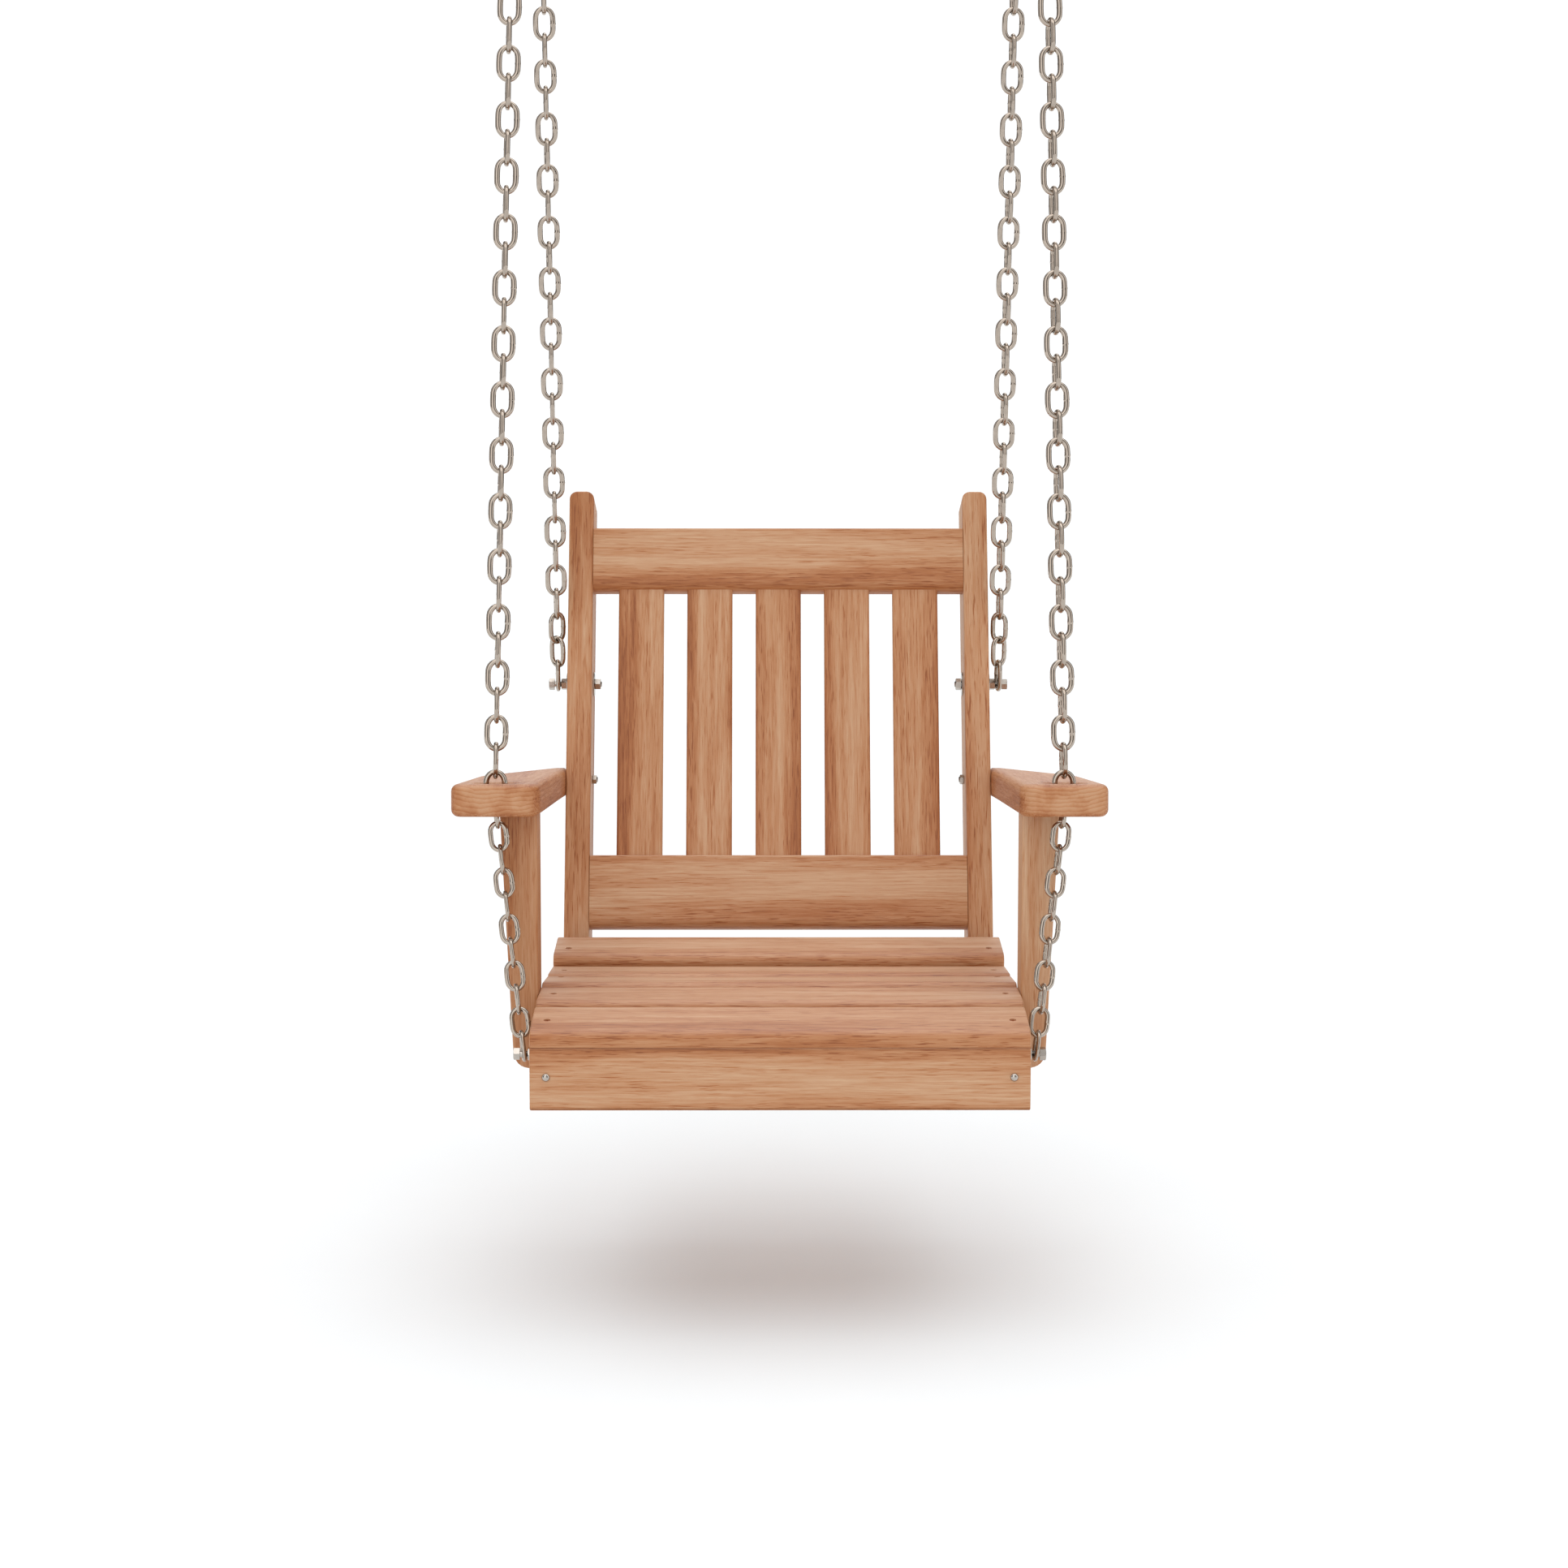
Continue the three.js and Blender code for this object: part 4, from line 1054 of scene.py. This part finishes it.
def hang(name, side, lowest, lean, turns, body, nodes):
    """A chain with its hook, up to the hanger."""
    up = Vector((side * lean[0], lean[1], 1)).normalized()
    side_name = "left" if side < 0 else "right"
    chain(f"{name}_chain_{side_name}", lowest, up, turns, (PITCH, WIRE, LINK_WIDTH), nodes, body)
    seat = (len(turns) - 1) * PITCH + PITCH / 2 - HOOK_WIRE - GAP
    mesh = to_mesh(tube(hook_path(), HOOK_WIRE), f"{name}_hook_{side_name}")
    shade(mesh)
    add_object(f"{name}_hook_{side_name}_bar", mesh, BOLT_STEEL, CHAIR @ aim(lowest + up * seat, up),
               [f"{name}_hook_{side_name}"], body)


def chains():
    link_room = 2 * WIRE + LINK_PLAY
    rear_x = POST_INNER + POST_WIDTH + GAP + WASHER_THICKNESS + NUT_HEIGHT + link_room / 2
    front_x = SEAT_WIDTH / 2 + GAP + NUT_HEIGHT + link_room / 2
    rear_turns = [90, 45, -45, 90] + [0 if i % 2 == 0 else 90 for i in range(4, REAR_LINKS)]
    front_turns = [0 if i % 2 == 0 else 90 for i in range(FRONT_LINKS)]
    lower_turns = [90 if i % 2 == 0 else 0 for i in range(LOWER_LINKS)]
    for name, side in SIDES:
        rear_up = Vector((side * REAR_CHAIN_LEAN[0], REAR_CHAIN_LEAN[1], 1)).normalized()
        rear_bolt = Vector((side * rear_x, REAR_PIVOT.y, REAR_PIVOT.z))
        hang("rear", side, rear_bolt + rear_up * (PITCH / 2 - BOLT_RADIUS - GAP), REAR_CHAIN_LEAN,
             [side * t if abs(t) == 45 else t for t in rear_turns], "rear_chains",
             [f"rear_chain_{name}", f"rear_end_link_{name}", f"rear_top_link_{name}"])
        front_lowest = Vector((side * ARM_HOLE[0], *FRONT_JOINT))
        hang("front", side, front_lowest, FRONT_CHAIN_LEAN, front_turns, "front_chains",
             [f"front_chain_{name}", f"front_top_link_{name}"])

        front_up = Vector((side * FRONT_CHAIN_LEAN[0], FRONT_CHAIN_LEAN[1], 1)).normalized()
        joint = front_lowest - front_up * (PITCH / 2 + WIRE)
        bolt = Vector((side * front_x, *FRONT_BOLT))
        rise = joint - bolt
        pitch = (rise.length + WIRE + BOLT_RADIUS + GAP) / LOWER_LINKS
        rise.normalize()
        chain(f"lower_chain_{name}", bolt + rise * (pitch / 2 - BOLT_RADIUS - GAP), rise, lower_turns,
              (pitch, LOWER_WIRE, LOWER_WIDTH), [f"lower_chain_{name}", f"lower_end_link_{name}"], "seat")


chains()


# ------------------------------------------------------------------ hangers
def rounded_rectangle(width, height, radius):
    x, y = width / 2 - radius, height / 2 - radius
    points = arc(x, y, radius, 0, 90) + arc(-x, y, radius, 90, 180)
    return points + arc(-x, -y, radius, 180, 270) + arc(x, -y, radius, 270, 360)


def hangers():
    """Screwed plates, each with a bar bent to a U; every size but its drop is the same."""
    width, depth, thickness, corner = PLATE
    for end in ("front", "rear"):
        for name, _ in SIDES:
            node = f"{end}_hanger_{name}"
            low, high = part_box(node)
            centre = Vector(((low[0] + high[0]) / 2, (low[1] + high[1]) / 2, high[2])) / MM
            drop = (high[2] - low[2]) / MM - HOOK_WIRE
            holes = [arc(side * PLATE_SCREW_X, 0, PLATE_SCREW_HOLE, 0, 360, 24)[:-1] for _, side in SIDES]
            plate = outline_solid([rounded_rectangle(width, depth, corner)] + holes, thickness, 0.9, 2)
            bend = -drop + EYE_RADIUS
            path = [(-EYE_RADIUS, 0, -2), (-EYE_RADIUS, 0, -thickness), (-EYE_RADIUS, 0, bend / 2)]
            path += [(x, 0, z) for x, z in arc(0, bend, EYE_RADIUS, 180, 360, 24)]
            path += [(EYE_RADIUS, 0, bend / 2), (EYE_RADIUS, 0, -thickness), (EYE_RADIUS, 0, -2)]
            bm = bmesh.new()
            merge(bm, plate, Matrix.Translation((0, 0, -thickness)))
            merge(bm, tube(path, HOOK_WIRE))
            for x in (-EYE_RADIUS, EYE_RADIUS):
                fillet = [(HOOK_WIRE - 0.5, -thickness - 3), (HOOK_WIRE + 0.6, -thickness - 1.6),
                          (HOOK_WIRE + 2.2, -thickness + 0.2), (HOOK_WIRE - 0.5, -thickness + 0.3)]
                merge(bm, lathe(fillet, 24), Matrix.Translation((x, 0, 0)))
            mesh = to_mesh(bm, node)
            shade(mesh)
            add_object(node + "_steel", mesh, BOLT_STEEL, Matrix.Translation(centre), [node],
                       "ceiling_hangers")


hangers()


# ------------------------------------------------------------------ floor, light and world
FLOOR_DEPTH = -348                   # below the apron's top line, in the chair's frame
FLOOR_SIZE = 60                      # metres


def stage():
    level = (CHAIR @ Vector((0, 250, FLOOR_DEPTH))).z * MM
    bm = bmesh.new()
    bmesh.ops.create_grid(bm, x_segments=1, y_segments=1, size=FLOOR_SIZE / 2)
    mesh = to_mesh(bm, "floor")
    floor = bpy.data.objects.new("floor", mesh)
    bpy.context.scene.collection.objects.link(floor)
    floor.location.z = level
    t = Tree(bpy.data.materials.new("floor"))
    place = t.add("TexCoord").outputs["Object"]
    tints = ((0.3, (0.88, 0.905, 0.92, 1)), (0.7, (0.89, 0.915, 0.93, 1)))
    t.put(t.shader.inputs["Base Color"], t.ramp(t.noise(place, 3), tints))
    t.shader.inputs["Roughness"].default_value = 0.9
    t.shader.inputs["Specular IOR Level"].default_value = 0.0
    mesh.materials.append(t.owner)


# dark upright flags that steel reflects: degrees from the front towards +X, half width, darkness
FLAGS = ((22, 31, 1.0), (-62, 25, 0.9), (125, 40, 0.96), (-135, 38, 0.97))
FLAG_EDGE = 1.6                      # how sharp the flags' edges are
FILL = 0.76                          # brightness of the world
STEEL_SKY = 1.2                      # and as steel reflects it


def world_light():
    """A white studio. Mirror-like steel also sees tall dark flags around it."""
    t = Tree(bpy.data.worlds.new("world"))
    bpy.context.scene.world = t.owner
    path = t.add("LightPath")
    # Incoming points back at the viewer, so the sky's direction is its opposite; the front is -Y
    split = t.add("SeparateXYZ", {0: t.add("NewGeometry").outputs["Incoming"]})
    azimuth = t.math("ARCTAN2", t.math("MULTIPLY", split.outputs["X"], -1.0), split.outputs["Y"])
    glossy = STEEL_SKY
    for degrees, half_width, darkness in FLAGS:
        away = t.math("ABSOLUTE", t.math("SUBTRACT", azimuth, math.radians(degrees)))
        away = t.math("DIVIDE", away, math.radians(half_width) / FLAG_EDGE)
        inside = t.math("SUBTRACT", FLAG_EDGE, away, clamp=True)
        left = t.math("SUBTRACT", 1.0, t.math("MULTIPLY", inside, darkness))
        glossy = t.math("MULTIPLY", glossy, left)
    plain = t.math("ADD", t.math("MULTIPLY", path.outputs["Is Camera Ray"], 1.1 - FILL), FILL)
    difference = t.math("SUBTRACT", glossy, plain)
    strength = t.math("ADD", plain, t.math("MULTIPLY", path.outputs["Is Glossy Ray"], difference))
    background = t.nodes["Background"]
    t.put(background.inputs["Strength"], strength)
    background.inputs["Color"].default_value = (1, 1, 1, 1)


def sun(name, energy, spread, turn):
    data = bpy.data.lights.new(name, "SUN")
    data.energy = energy
    data.angle = math.radians(spread)
    lamp = bpy.data.objects.new(name, data)
    bpy.context.scene.collection.objects.link(lamp)
    lamp.rotation_euler = (math.radians(turn), 0, 0)


def lights():
    sun("overhead", 1.25, 76, -2)
    sun("front", 0.35, 60, 62)
    world_light()


stage()
lights()
bpy.context.scene.view_settings.view_transform = "Standard"
bpy.context.scene.view_settings.look = "None"
